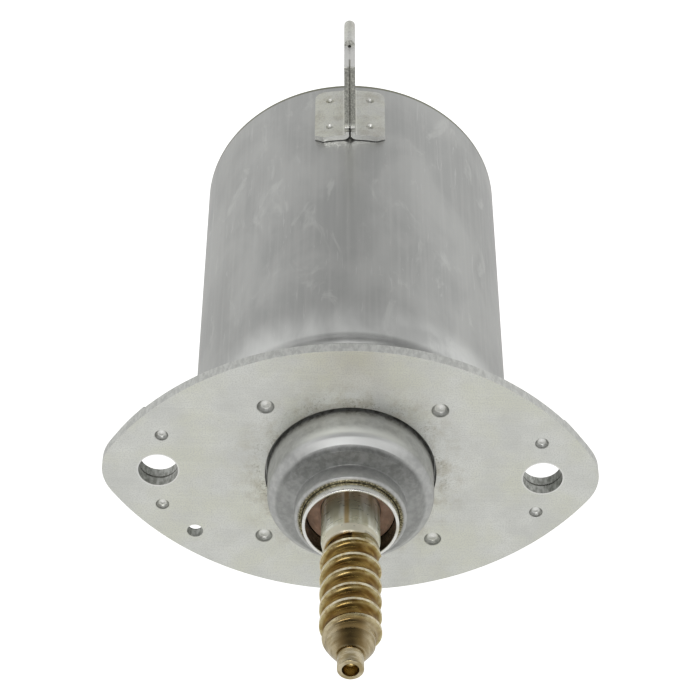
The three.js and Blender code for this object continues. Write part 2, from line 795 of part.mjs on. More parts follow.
// Copper shell with a riser at the front, undercut between the bars.
function commutatorCopper() {
  const { hub, radius, riser, frontY, riserRearY, rearY, slotWidth, slotDepth } = COMMUTATOR;
  const shell = turned([
    [hub + FIT, frontY],
    [riser, frontY],
    [riser, riserRearY],
    [radius, riserRearY],
    [radius, rearY],
    [hub + FIT, rearY],
  ]);
  const cuts = [];
  for (let i = 0; i < CORE.slots; i += 1) {
    const low = [-slotWidth / 2, frontY - OVERCUT, radius - slotDepth];
    const high = [slotWidth / 2, rearY + OVERCUT, riser + OVERCUT];
    cuts.push(block(low, high).rotateY((FULL_TURN * (i + 0.5)) / CORE.slots));
  }
  return cut(shell, ...cuts);
}

add("commutator_copper", commutatorCopper(), "copper");

// ---------------------------------------------------------------- brush gear

const brushFace = COMMUTATOR.radius + BRUSH.gap;
const brushHalf = BRUSH.wide / 2;

function brushHolder() {
  const outX = brushHalf + FIT + BRUSH.wall;
  const outY = BRUSH.long / 2 + FIT + BRUSH.wall;
  const inX = brushHalf + FIT;
  const inY = BRUSH.long / 2 + FIT;
  const y = BRUSH.centreY;
  const box = block([-outX, y - outY, HOLDER.inner], [outX, y + outY, HOLDER.outer]);
  const bore = block([-inX, y - inY, HOLDER.inner - OVERCUT], [inX, y + inY, HOLDER.outer - BRUSH.wall]);
  return cut(box, bore);
}

// A carbon block whose inner end is hollowed to the commutator's radius.
function carbonBrush() {
  const half = Math.asin(brushHalf / brushFace);
  const shape = new THREE.Shape();
  shape.moveTo(brushHalf, BRUSH.outer);
  shape.lineTo(-brushHalf, BRUSH.outer);
  shape.absarc(0, 0, brushFace, Math.PI / 2 + half, Math.PI / 2 - half, true);
  return plate(shape, BRUSH.centreY - BRUSH.long / 2, BRUSH.centreY + BRUSH.long / 2, ARC.short);
}

// The coil that presses a brush inwards, with its axis along the holder.
function brushSpring() {
  const { coil, wire, wireSides, turns, stepsPerTurn } = BRUSH_SPRING;
  const start = BRUSH.outer + wire + FIT;
  const length = HOLDER.outer - BRUSH.wall - wire - FIT - start;
  class Helix extends THREE.Curve {
    getPoint(t, target = new THREE.Vector3()) {
      const angle = FULL_TURN * turns * t;
      return target.set(coil * Math.cos(angle), BRUSH.centreY + coil * Math.sin(angle), start + length * t);
    }
  }
  const corners = Array.from({ length: wireSides }, (_, i) => polar(wire, (FULL_TURN * i) / wireSides));
  const steps = Math.round(turns * stepsPerTurn);
  return new THREE.ExtrudeGeometry(new THREE.Shape(corners), { steps, extrudePath: new Helix() });
}

for (let i = 0; i < BRUSH.count; i += 1) {
  const turn = (FULL_TURN * (i + 0.5)) / BRUSH.count;
  add(`brush_holder_${i + 1}`, brushHolder().rotateY(turn), "brass");
  add(`carbon_brush_${i + 1}`, carbonBrush().rotateY(turn), "carbon");
  add(`brush_spring_${i + 1}`, brushSpring().rotateY(turn), "spring_steel");
}

add(
  "brush_carrier",
  ring(CARRIER.inner, CARRIER.outer, CARRIER.frontY, CARRIER.rearY, SIDES_LARGE),
  "nylon",
);

// A ferrite rod with a few turns of thick wire, lying across the carrier's face.
function choke(side) {
  const { distance, length, bareEnd, core, coil, turns, sides, clearance } = CHOKE;
  const end = length / 2;
  const corners = [[0, -end], [core, -end]];
  const pitch = (length - 2 * bareEnd) / turns;
  for (let i = 0; i < turns; i += 1) {
    const start = -end + bareEnd + i * pitch;
    corners.push([core, start], [coil, start + pitch / 3], [coil, start + (2 * pitch) / 3]);
  }
  corners.push([core, end - bareEnd], [core, end], [0, end]);
  const y = CARRIER.frontY - coil - clearance;
  return turned(corners, sides).rotateX(Math.PI / 2).translate(side * distance, y, 0);
}

add("choke_left", choke(-1), "enamelled_copper");
add("choke_right", choke(1), "enamelled_copper");

// ---------------------------------------------------------------- rear cap, connector and rear bearing

function rearCap() {
  const { radius, frontY, backY, bossRadius, bossY, bossChamfer, bushPocket, bushPocketY } = CAP;
  const base = turned([
    [bushPocket, frontY],
    [radius, frontY],
    [radius, CAP_SEAL.frontY],
    [CAP_SEAL.groove, CAP_SEAL.frontY],
    [CAP_SEAL.groove, CAP_SEAL.rearY],
    [radius, CAP_SEAL.rearY],
    [radius, backY],
    [bossRadius, backY],
    [bossRadius, bossY - bossChamfer],
    [bossRadius - bossChamfer, bossY],
    [0, bossY],
    [0, bushPocketY],
    [bushPocket, bushPocketY],
  ], SIDES_LARGE);
  const extras = [];
  for (let i = 0; i < CAP.ribs; i += 1) {
    const low = [-CAP.ribHalf, backY - OVERLAP, bossRadius - OVERLAP];
    const high = [CAP.ribHalf, backY + CAP.ribHeight, CAP.ribOuter];
    extras.push(block(low, high).rotateY((FULL_TURN * i) / CAP.ribs));
  }
  const { z, halfWide, halfHigh, wall, rearY, floorY, latch } = SOCKET;
  extras.push(block([-halfWide, backY - OVERLAP, z - halfHigh], [halfWide, rearY, z + halfHigh]));
  const latchTop = z + halfHigh + latch.height;
  extras.push(block([-latch.halfWide, latch.frontY, z], [latch.halfWide, latch.rearY, latchTop]));
  const wideIn = halfWide - wall;
  const highIn = halfHigh - wall;
  const tools = [block([-wideIn, floorY, z - highIn], [wideIn, rearY + OVERCUT, z + highIn])];
  for (const side of [-1, 1]) {
    const x = side * TERMINAL.x;
    const wide = TERMINAL.halfWide + FIT;
    const thick = TERMINAL.halfThick + FIT;
    tools.push(block([x - wide, frontY - OVERCUT, z - thick], [x + wide, rearY, z + thick]));
  }
  return cut(joined(base, ...extras), ...tools);
}

add("rear_cap", rearCap(), "moulding");
add(
  "cap_seal_ring",
  turned([
    [CAP_SEAL.groove + FIT, CAP_SEAL.frontY + 2 * FIT],
    [CAN.radius - CAN.wall - 2 * FIT, CAP_SEAL.frontY + 2 * FIT],
    [CAN.radius - CAN.wall - 2 * FIT, CAP_SEAL.rearY - 2 * FIT],
    [CAP_SEAL.groove + FIT, CAP_SEAL.rearY - 2 * FIT],
  ], SIDES_LARGE),
  "seal_rubber",
);

function terminalBlade(side) {
  const { x, halfWide, halfThick, rearY } = TERMINAL;
  const low = [side * x - halfWide, CARRIER.rearY, SOCKET.z - halfThick];
  return block(low, [side * x + halfWide, rearY, SOCKET.z + halfThick]);
}

add("terminal_left", terminalBlade(-1), "brass");
add("terminal_right", terminalBlade(1), "brass");

add(
  "rear_bearing_bush",
  turned([
    [BUSH.bore, BUSH.frontY],
    [BUSH.outer - BUSH.crown, BUSH.frontY],
    [BUSH.outer, BUSH.frontY + BUSH.crown],
    [BUSH.outer, BUSH.rearY - BUSH.crown],
    [BUSH.outer - BUSH.crown, BUSH.rearY],
    [BUSH.bore, BUSH.rearY],
  ]),
  "bronze",
);
add(
  "bush_clip",
  ring(BUSH_CLIP.inner, CAP.bushPocket - FIT, BUSH_CLIP.frontY, BUSH_CLIP.rearY),
  "spring_steel",
);
add(
  "thrust_washer",
  ring(SHAFT.seat + FIT, THRUST_WASHER.outer, THRUST_WASHER.frontY, THRUST_WASHER.rearY),
  "nylon",
);

export default assembly;
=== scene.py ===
"""Looks of a brushed DC actuator motor with a worm on its shaft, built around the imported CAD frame.

X runs along the mounting flange, -Y points out along the shaft to the worm's tip and +Z is up. Lengths are in
metres. Outlines of turned pieces are lists of (radius, y), and each corner may carry a fillet radius.
"""

import json
import math

import bmesh
import bpy
from mathutils import Matrix, Vector


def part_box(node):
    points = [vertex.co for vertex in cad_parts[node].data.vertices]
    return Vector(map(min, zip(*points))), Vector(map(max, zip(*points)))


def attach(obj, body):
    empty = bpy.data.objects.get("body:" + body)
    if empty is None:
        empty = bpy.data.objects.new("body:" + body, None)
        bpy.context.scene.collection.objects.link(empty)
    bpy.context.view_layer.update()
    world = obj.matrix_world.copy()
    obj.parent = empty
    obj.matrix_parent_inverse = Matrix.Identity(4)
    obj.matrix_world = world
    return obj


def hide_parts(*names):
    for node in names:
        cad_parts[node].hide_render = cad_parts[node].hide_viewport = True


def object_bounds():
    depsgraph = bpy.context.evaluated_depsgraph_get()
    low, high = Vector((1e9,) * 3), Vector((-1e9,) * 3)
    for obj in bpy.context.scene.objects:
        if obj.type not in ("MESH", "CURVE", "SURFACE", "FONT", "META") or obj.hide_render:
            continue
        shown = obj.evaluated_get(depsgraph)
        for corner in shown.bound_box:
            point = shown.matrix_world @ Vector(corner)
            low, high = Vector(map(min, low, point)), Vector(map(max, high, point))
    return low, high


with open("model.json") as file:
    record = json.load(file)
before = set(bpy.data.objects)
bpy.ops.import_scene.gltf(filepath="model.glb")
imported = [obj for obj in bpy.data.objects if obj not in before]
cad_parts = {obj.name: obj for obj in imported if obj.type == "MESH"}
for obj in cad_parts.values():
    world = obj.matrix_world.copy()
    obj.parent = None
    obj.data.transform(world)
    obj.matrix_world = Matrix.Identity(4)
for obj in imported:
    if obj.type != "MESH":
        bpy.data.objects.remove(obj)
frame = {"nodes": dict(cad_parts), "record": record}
cad_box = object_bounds()

MM = 0.001
FINE = 160  # sides of the large turned pieces
ROUND = 96  # sides of the small turned pieces

# ------------------------------------------------------------------ places, read from the frame

_, flange_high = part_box("mounting_flange")
can_low, can_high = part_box("pole_housing")
case_low, case_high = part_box("seal_case")
seal_low, seal_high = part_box("shaft_seal")
shaft_low, shaft_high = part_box("worm_shaft")
cap_low, cap_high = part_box("rear_cap")
bracket_low, bracket_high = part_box("rear_bracket")
doubler_boxes = {side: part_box(f"ear_doubler_{side}") for side in ("left", "right")}

CAN_RADIUS = can_high.x
CAN_REAR = can_high.y
NOSE_TIP = can_low.y
CASE_RADIUS = case_high.x
FLANGE_BACK = flange_high.y
BOLT_X = 39.25 * MM
BOLT_RADIUS = 4.05 * MM
WELDS = [  # each stands for four dimples: x, z, radius, floor radius, depth
    (17.5 * MM, 17.2 * MM, 1.8 * MM, 1.05 * MM, 1.0 * MM),
    (38.45 * MM, 9.2 * MM, 1.4 * MM, 0.75 * MM, 0.85 * MM),
]

# ------------------------------------------------------------------ sizes that materials and pieces share

NOSE_HOLE = 17.5 * MM  # radius of the flange's hole around the nose
SHOULDER_Y = -9.4 * MM  # where the nose's sloping shoulder meets its front face
RING_ROOT = -10.5 * MM
SEAL_FACE_Y = -15.8 * MM
DRAIN_X, DRAIN_Z, DRAIN_RADIUS = 31.8 * MM, 16.3 * MM, 1.65 * MM
FOOT_TOP = 34.6 * MM
WEB_CORNER_Z = 50.3 * MM
WEB_STEP_Y = 82.2 * MM
NECK_FRONT = -23.2 * MM
NECK_BAND_REAR = -21.3 * MM
CONE_REAR = -47 * MM
PIN_ROOT = -53 * MM
PIN_HOLE = 1.65 * MM  # radius of the centre drilled in the pin's tip

# ------------------------------------------------------------------ light and plating

TABLE_LIGHT = 0.4
TABLE_GLOW = 0.56
WALL_LIGHT = 0.67
CEILING_LIGHT = 0.05
BACK_LIGHT = 0.24
RIGHT_LIGHT = 0.05
PLATING = (0.78, 0.79, 0.755)
BRACKET_PLATING = (0.74, 0.745, 0.71)

# ------------------------------------------------------------------ mesh helpers


def filleted(corners, steps=5):
    """Points of a closed outline. A corner is (u, v) or (u, v, radius), and a radius rounds it with an arc."""
    points = []
    count = len(corners)
    for i, corner in enumerate(corners):
        here = Vector(corner[:2])
        if len(corner) == 2:
            points.append(here)
            continue
        before = (Vector(corners[i - 1][:2]) - here).normalized()
        after = (Vector(corners[(i + 1) % count][:2]) - here).normalized()
        half = before.angle(after) / 2
        reach = corner[2] / math.tan(half)
        centre = here + (before + after).normalized() * corner[2] / math.sin(half)
        start = here + before * reach - centre
        end = here + after * reach - centre
        sweep = start.angle_signed(end)
        for step in range(steps + 1):
            turn = Matrix.Rotation(-sweep * step / steps, 2)
            points.append(centre + turn @ start)
    return [(point.x, point.y) for point in points]


def new_object(name, bm):
    bmesh.ops.recalc_face_normals(bm, faces=bm.faces)
    mesh = bpy.data.meshes.new(name)
    bm.to_mesh(mesh)
    bm.free()
    piece = bpy.data.objects.new(name, mesh)
    bpy.context.scene.collection.objects.link(piece)
    return piece


def smooth(piece, angle=30):
    """Shades the piece smooth, except across edges sharper than the angle."""
    piece.data.shade_smooth()
    piece.data.set_sharp_from_angle(angle=math.radians(angle))
    return piece


def skin(bm, rows, closed_rows):
    """Joins rows of vertices with faces. A row of one vertex is a pole."""
    pairs = list(zip(rows, rows[1:]))
    if closed_rows:
        pairs.append((rows[-1], rows[0]))
    for first, second in pairs:
        count = max(len(first), len(second))
        if count == 1:
            continue
        for j in range(count):
            k = (j + 1) % count
            near = [first[j % len(first)], first[k % len(first)]]
            far = [second[k % len(second)], second[j % len(second)]]
            bm.faces.new(dict.fromkeys(near + far))


def rings_of(bm, outline, sides):
    """A ring of vertices around Y for each point of the outline, or one vertex for a point on the axis."""
    angles = [2 * math.pi * j / sides for j in range(sides)]
    rows = []
    for radius, y in outline:
        if radius < 1e-7:
            rows.append([bm.verts.new((0, y, 0))])
        else:
            rows.append([bm.verts.new((radius * math.sin(a), y, radius * math.cos(a))) for a in angles])
    return rows


def turned(name, outline, sides=ROUND, angle=30):
    """A solid of revolution about Y. The outline closes on itself, or starts and ends on the axis."""
    bm = bmesh.new()
    rows = rings_of(bm, outline, sides)
    skin(bm, rows, closed_rows=len(rows[0]) > 1)
    return smooth(new_object(name, bm), angle)


def prism(name, outline, low, high, axis="Y"):
    """An outline given thickness: drawn in X and Z along Y, in Y and Z along X, or in X and Y along Z."""
    place = {
        "X": lambda u, v, w: (w, u, v),
        "Y": lambda u, v, w: (u, w, v),
        "Z": lambda u, v, w: (u, v, w),
    }[axis]
    bm = bmesh.new()
    bottom = [bm.verts.new(place(u, v, low)) for u, v in outline]
    top = [bm.verts.new(place(u, v, high)) for u, v in outline]
    bm.faces.new(bottom)
    bm.faces.new(list(reversed(top)))
    skin(bm, [bottom, top], closed_rows=False)
    return new_object(name, bm)


def box(name, low, high):
    outline = [(low[0], low[2]), (high[0], low[2]), (high[0], high[2]), (low[0], high[2])]
    return prism(name, outline, low[1], high[1])


def moved(piece, matrix):
    piece.data.transform(matrix)
    return piece


def around_shaft(degrees):
    """Turns about the shaft axis, from +Z towards +X."""
    return Matrix.Rotation(math.radians(degrees), 4, "Y")


def baked(piece):
    """Applies the piece's modifiers to its mesh."""
    view = bpy.context.evaluated_depsgraph_get()
    mesh = bpy.data.meshes.new_from_object(piece.evaluated_get(view))
    piece.modifiers.clear()
    piece.data = mesh
    return piece


def combined(piece, others, operation):
    """Cuts, joins or intersects the piece with each other piece, which is then removed."""
    for other in others:
        modifier = piece.modifiers.new(operation, "BOOLEAN")
        modifier.object = other
        modifier.operation = operation
        modifier.solver = "EXACT"
    baked(piece)
    for other in others:
        bpy.data.objects.remove(other)
    return piece


def edged(piece, width, segments=2, angle=32):
    """Rounds the piece's sharp edges."""
    piece.data.shade_smooth()
    bevel = piece.modifiers.new("edges", "BEVEL")
    bevel.width = width
    bevel.segments = segments
    bevel.limit_method = "ANGLE"
    bevel.angle_limit = math.radians(angle)
    bevel.use_clamp_overlap = True
    bevel.miter_outer = "MITER_ARC"
    normals = piece.modifiers.new("normals", "WEIGHTED_NORMAL")
    normals.keep_sharp = True
    return baked(piece)


def arc(centre, radius, start, end, steps):
    """Points from one angle to another, in degrees from the first axis towards the second."""
    angles = [math.radians(start + (end - start) * i / steps) for i in range(steps + 1)]
    return [(centre[0] + radius * math.cos(a), centre[1] + radius * math.sin(a)) for a in angles]


def finished(piece, body, slot, material, *nodes):
    """Gives the piece its material and its body, and hides the CAD nodes that it stands for; the slot is not
    used.
    """
    piece.data.materials.clear()
    piece.data.materials.append(material)
    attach(piece, body)
    if nodes:
        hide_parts(*nodes)
    return piece


# ------------------------------------------------------------------ material helpers


class Surface:
    """A material and short calls that add its nodes. Values may be numbers, colours or other nodes' outputs."""

    def __init__(self, name, colour, metallic, roughness):
        self.material = bpy.data.materials.new(name)
        self.material.use_nodes = True
        self.tree = self.material.node_tree
        self.shader = self.tree.nodes["Principled BSDF"]
        self.set("Base Color", colour)
        self.set("Metallic", metallic)
        self.set("Roughness", roughness)
        coordinates = self.tree.nodes.new("ShaderNodeTexCoord").outputs
        self.place = coordinates["Object"]
        self.x, self.y, self.z = self.node("ShaderNodeSeparateXYZ", {0: self.place}).outputs
        normal = self.node("ShaderNodeSeparateXYZ", {0: coordinates["Normal"]}).outputs
        self.along_shaft = self.maths("ABSOLUTE", normal[1])

    def put(self, socket, value):
        if isinstance(value, bpy.types.NodeSocket):
            self.tree.links.new(value, socket)
        elif isinstance(value, (tuple, list)) and socket.type == "RGBA":
            socket.default_value = (*value[:3], 1)
        else:
            socket.default_value = value

    def set(self, name, value):
        self.put(self.shader.inputs[name], value)

    def node(self, kind, inputs, **settings):
        node = self.tree.nodes.new(kind)
        for key, value in settings.items():
            setattr(node, key, value)
        for key, value in inputs.items():
            self.put(node.inputs[key], value)
        return node

    def maths(self, operation, first, second=0.0, third=0.0):
        inputs = {0: first, 1: second, 2: third}
        return self.node("ShaderNodeMath", inputs, operation=operation).outputs[0]

    def times(self, first, *others):
        for other in others:
            first = self.maths("MULTIPLY", first, other)
        return first

    def noise(self, size, detail=3.0, stretch=(1, 1, 1), seed=0.0, rough=0.5, warp=0.0):
        """Noise with features of about this size, in metres, drawn out by the stretch."""
        scale = [1 / (size * s) for s in stretch]
        mapping = {"Vector": self.place, "Scale": scale, "Location": (seed, seed, seed)}
        spot = self.node("ShaderNodeMapping", mapping).outputs[0]
        inputs = {"Vector": spot, "Scale": 1.0, "Detail": detail, "Roughness": rough, "Distortion": warp}
        return self.node("ShaderNodeTexNoise", inputs).outputs[0]

    def cells(self, size):
        """Distance to scattered points that lie about this far apart."""
        scale = (1 / size, 1 / size, 1 / size)
        spot = self.node("ShaderNodeMapping", {"Vector": self.place, "Scale": scale}).outputs[0]
        return self.node("ShaderNodeTexVoronoi", {"Vector": spot, "Scale": 1.0}).outputs["Distance"]

    def range(self, value, low, high, start=0.0, end=1.0):
        """Maps low..high of the value smoothly to start..end, and holds it outside."""
        inputs = {"Value": value, "From Min": low, "From Max": high, "To Min": start, "To Max": end}
        return self.node("ShaderNodeMapRange", inputs, interpolation_type="SMOOTHSTEP").outputs[0]

    def mix(self, share, first, second):
        """Blends two colours. The colour sockets of a mix node are its sockets 6 and 7 in and 2 out."""
        node = self.node("ShaderNodeMix", {}, data_type="RGBA")
        for socket, value in zip((0, 6, 7), (share, first, second)):
            self.put(node.inputs[socket], value)
        return node.outputs[2]

    def bump(self, height, depth, strength=1.0, under=None):
        """Raises the surface by the height times the depth, in metres."""
        inputs = {"Height": height, "Distance": depth, "Strength": strength}
        node = self.node("ShaderNodeBump", inputs)
        if under is not None:
            self.put(node.inputs["Normal"], under)
        self.set("Normal", node.outputs[0])
        return node.outputs[0]

    def ground_around(self, amount):
        """Grinding lines run around the shaft, so reflections spread along it."""
        tangent = self.node("ShaderNodeTangent", {}, direction_type="RADIAL", axis="Y")
        self.set("Tangent", tangent.outputs[0])
        self.set("Anisotropic", amount)
        self.set("Anisotropic Rotation", 0.25)

    def from_spots(self, x, z):
        """Distance from the nearest of four lines along Y that mirror each other at this x and z."""
        across = self.maths("SUBTRACT", self.maths("ABSOLUTE", self.x), x)
        up = self.maths("SUBTRACT", self.maths("ABSOLUTE", self.z), z)
        squares = self.maths("MULTIPLY_ADD", across, across, self.maths("MULTIPLY", up, up))
        return self.maths("SQRT", squares)

    def from_axis(self):
        """Distance from the shaft axis."""
        squares = self.maths("MULTIPLY_ADD", self.x, self.x, self.maths("MULTIPLY", self.z, self.z))
        return self.maths("SQRT", squares)


# ------------------------------------------------------------------ materials


def shaded(colour, factor):
    return tuple(min(1, factor * c) for c in colour)


def can_steel():
    """Deep-drawn steel: satin, cloudy, faintly streaked along the draw, and darker on the nose's face with
    grease and painted shade.
    """
    s = Surface("can_steel", (0.4, 0.4, 0.4), 0.95, 0.4)
    streaks = s.noise(0.9 * MM, 4, (1, 45, 1), seed=3)
    clouds = s.noise(13 * MM, 4, (1, 1.8, 1), seed=7, warp=0.4)
    grain = s.noise(0.22 * MM, 2)
    scratch = s.range(s.noise(0.8 * MM, 2, (1, 14, 1), seed=31, warp=1.5), 0.66, 0.72)
    tone = s.mix(s.range(clouds, 0.34, 0.68), (0.42, 0.425, 0.415), (0.54, 0.545, 0.53))
    tone = s.mix(s.range(streaks, 0.4, 0.75, 0, 0.22), tone, (0.64, 0.64, 0.62))
    tone = s.mix(s.times(scratch, 0.3), tone, (0.7, 0.7, 0.69))
    smear = s.range(s.noise(6 * MM, 5, (1, 2.2, 1), seed=51, rough=0.65, warp=0.8), 0.56, 0.7, 0, 0.35)
    tone = s.mix(smear, tone, (0.72, 0.73, 0.7))
    # Painted highlight: the can is lighter just behind the flange, where its rounded front edge would catch
    # light.
    front_highlight = s.times(s.range(s.y, 17 * MM, 5 * MM), s.range(clouds, 0.3, 0.6, 0.3, 0.9))
    tone = s.mix(front_highlight, tone, (0.86, 0.87, 0.85))
    rim = s.times(s.range(s.y, 94.3 * MM, 94.9 * MM), s.range(s.along_shaft, 0.98, 0.8, 0, 0.85))
    tone = s.mix(rim, tone, (0.16, 0.16, 0.09))
    mottle = s.noise(1.4 * MM, 5, seed=11, rough=0.62)
    radius = s.from_axis()
    on_nose = s.range(s.y, 1.5 * MM, 0.5 * MM)
    side = s.mix(s.range(mottle, 0.35, 0.66), (0.48, 0.485, 0.475), (0.58, 0.585, 0.57))
    # Grease and painted shade: the nose's face is darker than its side, and darkest towards its top.
    face_grease_and_shade = s.mix(s.range(mottle, 0.35, 0.66), (0.16, 0.164, 0.155), (0.24, 0.244, 0.235))
    face = s.mix(s.range(s.z, 11 * MM, 2 * MM, 0, 0.5), face_grease_and_shade, side)
    on_face = s.times(s.range(radius, 16.6 * MM, 14.8 * MM), s.range(s.y, SHOULDER_Y + 0.8 * MM, SHOULDER_Y))
    on_face = s.times(on_face, s.range(s.y, RING_ROOT - 0.4 * MM, RING_ROOT + 0.1 * MM))
    nose = s.mix(on_face, side, face)
    # Painted highlight on the top of the nose's side, near the shoulder.
    top_highlight = s.times(s.range(s.z, 10.5 * MM, 15.5 * MM), s.range(s.y, -4 * MM, -6.5 * MM, 0, 0.9))
    nose = s.mix(s.times(top_highlight, s.range(on_face, 0.3, 0.1)), nose, (0.95, 0.96, 0.94))
    # Dirt and painted shade darken the nose where it sits in the flange's hole.
    gap_dirt_and_shade = s.times(s.range(s.y, -2.6 * MM, -0.4 * MM), s.range(mottle, 0.42, 0.6, 0.35, 0.85))
    nose = s.mix(gap_dirt_and_shade, nose, (0.12, 0.115, 0.1))
    tone = s.mix(on_nose, tone, nose)
    grease_ring = s.times(s.range(radius, 10.9 * MM, 10.3 * MM), s.range(s.y, -13.5 * MM, -13.9 * MM))
    speckle = s.range(s.noise(0.4 * MM, 3, seed=5), 0.48, 0.58)
    grease = s.mix(speckle, (0.1, 0.085, 0.04), (0.42, 0.38, 0.24))
    s.set("Base Color", s.mix(grease_ring, tone, grease))
    rough = s.range(clouds, 0.3, 0.7, 0.36, 0.44)
    s.set("Roughness", s.maths("MULTIPLY_ADD", on_nose, 0.02, rough))
    s.set("Metallic", s.maths("MULTIPLY_ADD", on_nose, -0.2, 0.95))
    fine = s.bump(grain, 0.008 * MM)
    height = s.maths("MULTIPLY_ADD", mottle, on_nose, s.times(streaks, 0.15))
    s.bump(height, 0.02 * MM, 0.6, fine)
    return s.material


def zinc_surface(name, colour, dirt):
    """Satin zinc plating: fine speckle, a faint yellow cast in places and dirt by the nose.

    Returns the surface with the colour and the bump that a plate adds its own marks to.
    """
    s = Surface(name, colour, 0.9, 0.4)
    speckle = s.noise(0.3 * MM, 3, seed=2, rough=0.6)
    spots = s.range(s.noise(0.7 * MM, 4, seed=13, rough=0.7), 0.6, 0.7)
    clouds = s.noise(9 * MM, 4, seed=9, rough=0.6)
    cast = s.range(s.noise(14 * MM, 3, seed=33, rough=0.6), 0.4, 0.65, 0, 0.6)
    rolling = s.noise(0.5 * MM, 3, (40, 1, 1), seed=4)
    tone = s.mix(s.range(clouds, 0.32, 0.7), shaded(colour, 0.92), shaded(colour, 1.06))
    tone = s.mix(cast, tone, (0.99 * colour[0], 0.99 * colour[1], 0.86 * colour[2]))
    tone = s.mix(s.range(speckle, 0.44, 0.62, 0, 0.6), tone, shaded(colour, 0.82))
    tone = s.mix(s.times(spots, 0.35), tone, shaded(colour, 0.6))
    tone = s.mix(s.range(rolling, 0.45, 0.75, 0, 0.15), tone, shaded(colour, 1.2))
    near_nose = s.range(s.from_axis(), 27 * MM, NOSE_HOLE)
    blotch = s.range(s.noise(4 * MM, 5, seed=21, rough=0.7), 0.42, 0.66)
    soiled = s.times(blotch, s.maths("MULTIPLY_ADD", near_nose, 0.6, dirt))
    tone = s.mix(soiled, tone, shaded((0.5, 0.47, 0.38), colour[0] / 0.75))
    crumbs = s.range(s.noise(0.55 * MM, 4, seed=61, rough=0.7), 0.52, 0.62)
    patches = s.range(s.noise(5 * MM, 2, seed=71), 0.46, 0.6)
    gathered = s.times(s.range(s.from_axis(), 23 * MM, NOSE_HOLE), patches)
    tone = s.mix(s.times(crumbs, gathered, 0.7), tone, (0.26, 0.25, 0.17))
    s.set("Roughness", s.maths("MULTIPLY_ADD", soiled, 0.2, s.range(speckle, 0.3, 0.7, 0.3, 0.46)))
    fine = s.bump(speckle, 0.025 * MM, 0.7)
    return s, tone, s.bump(clouds, 0.25 * MM, 0.35, fine)


def flange_plate():
    """Plating with darker sheared edges, weld dimples with painted shade on the wall and a painted highlight in
    the centre, and painted shade in the holes.
    """
    s, tone, relief = zinc_surface("flange_plate", PLATING, 0.04)
    torn = s.noise(0.7 * MM, 3, (1, 2.5, 1), seed=41, rough=0.6)
    sheared = s.range(s.along_shaft, 0.55, 0.25)
    bare = s.mix(s.range(torn, 0.35, 0.65), shaded(PLATING, 0.72), shaded(PLATING, 0.9))
    tone = s.mix(sheared, tone, bare)
    for x, z, radius, _, _ in WELDS:
        distance = s.from_spots(x, z)
        inside = s.range(distance, 1.02 * radius, 0.92 * radius)
        # Painted shade darkens each dimple's sloping wall, and a painted highlight lightens its centre.
        wall_shade = s.times(inside, s.range(distance, 0.5 * radius, 0.75 * radius))
        tone = s.mix(s.times(wall_shade, 0.6), tone, shaded(PLATING, 0.25))
        tone = s.mix(s.range(distance, 0.6 * radius, 0.3 * radius, 0, 0.6), tone, (0.98, 0.98, 0.96))
    distance = s.from_spots(BOLT_X, 0)
    collar = s.range(distance, BOLT_RADIUS + 0.4 * MM, BOLT_RADIUS + 0.2 * MM)
    tone = s.mix(s.times(collar, 0.6), tone, (0.95, 0.95, 0.93))
    bolt = s.range(distance, BOLT_RADIUS + 0.11 * MM, BOLT_RADIUS + 0.05 * MM)
    drain = s.from_spots(DRAIN_X, DRAIN_Z)
    drain = s.range(drain, DRAIN_RADIUS + 0.15 * MM, DRAIN_RADIUS + 0.05 * MM)
    in_hole = s.times(s.maths("MAXIMUM", bolt, drain), sheared)
    # Painted shade darkens the walls of the bolt and drain holes.
    hole_shade = s.mix(s.range(torn, 0.35, 0.65), (0.2, 0.21, 0.18), (0.5, 0.51, 0.48))
    tone = s.mix(s.times(in_hole, 0.85), tone, hole_shade)
    from_seam = s.maths("ABSOLUTE", s.maths("SUBTRACT", s.y, FLANGE_BACK))
    seam = s.range(from_seam, 0.3 * MM, 0.12 * MM)
    tone = s.mix(s.times(in_hole, seam), tone, (0.06, 0.06, 0.05))
    s.set("Base Color", tone)
    s.bump(s.times(torn, sheared), 0.08 * MM, 0.5, relief)
    return s.material


def bracket_plate():
    """Stained plating with dark torn edges on the web, and painted highlights on the feet's front edges and on
    the web's cut corner.
    """
    s, tone, relief = zinc_surface("bracket_plate", BRACKET_PLATING, 0.4)
    torn = s.noise(0.4 * MM, 4, seed=41, rough=0.7)
    on_web = s.range(s.z, FOOT_TOP + 0.6 * MM, FOOT_TOP + 1.6 * MM)
    edge = s.times(s.range(s.along_shaft, 0.7, 0.9), on_web)
    tone = s.mix(edge, tone, s.mix(s.range(torn, 0.4, 0.66), (0.36, 0.36, 0.33), (0.66, 0.66, 0.6)))
    on_foot = s.range(s.z, FOOT_TOP + 0.6 * MM, FOOT_TOP - 0.2 * MM)
    # Painted highlight on the feet's front edges.
    foot_edge_highlight = s.times(s.range(s.along_shaft, 0.5, 0.8, 0, 0.8), on_foot)
    tone = s.mix(foot_edge_highlight, tone, (0.96, 0.96, 0.93))
    # Painted highlight: the cut corner at the web's top front is painted near white and less metallic, less so
    # on its right.
    in_front = s.range(s.y, WEB_STEP_Y + 0.2 * MM, WEB_STEP_Y - 0.2 * MM)
    off_ends = s.range(s.along_shaft, 0.7, 0.5)
    less_on_right = s.range(s.x, 2.1 * MM, 1.5 * MM, 0.25, 1)
    at_top = s.range(s.z, WEB_CORNER_Z - 0.7 * MM, WEB_CORNER_Z - 0.3 * MM)
    corner_highlight = s.times(in_front, off_ends, less_on_right, at_top)
    s.set("Base Color", s.mix(corner_highlight, tone, (0.97, 0.97, 0.94)))
    s.set("Metallic", s.maths("MULTIPLY_ADD", corner_highlight, -0.85, 0.9))
    s.bump(torn, 0.03 * MM, 0.4, relief)
    return s.material


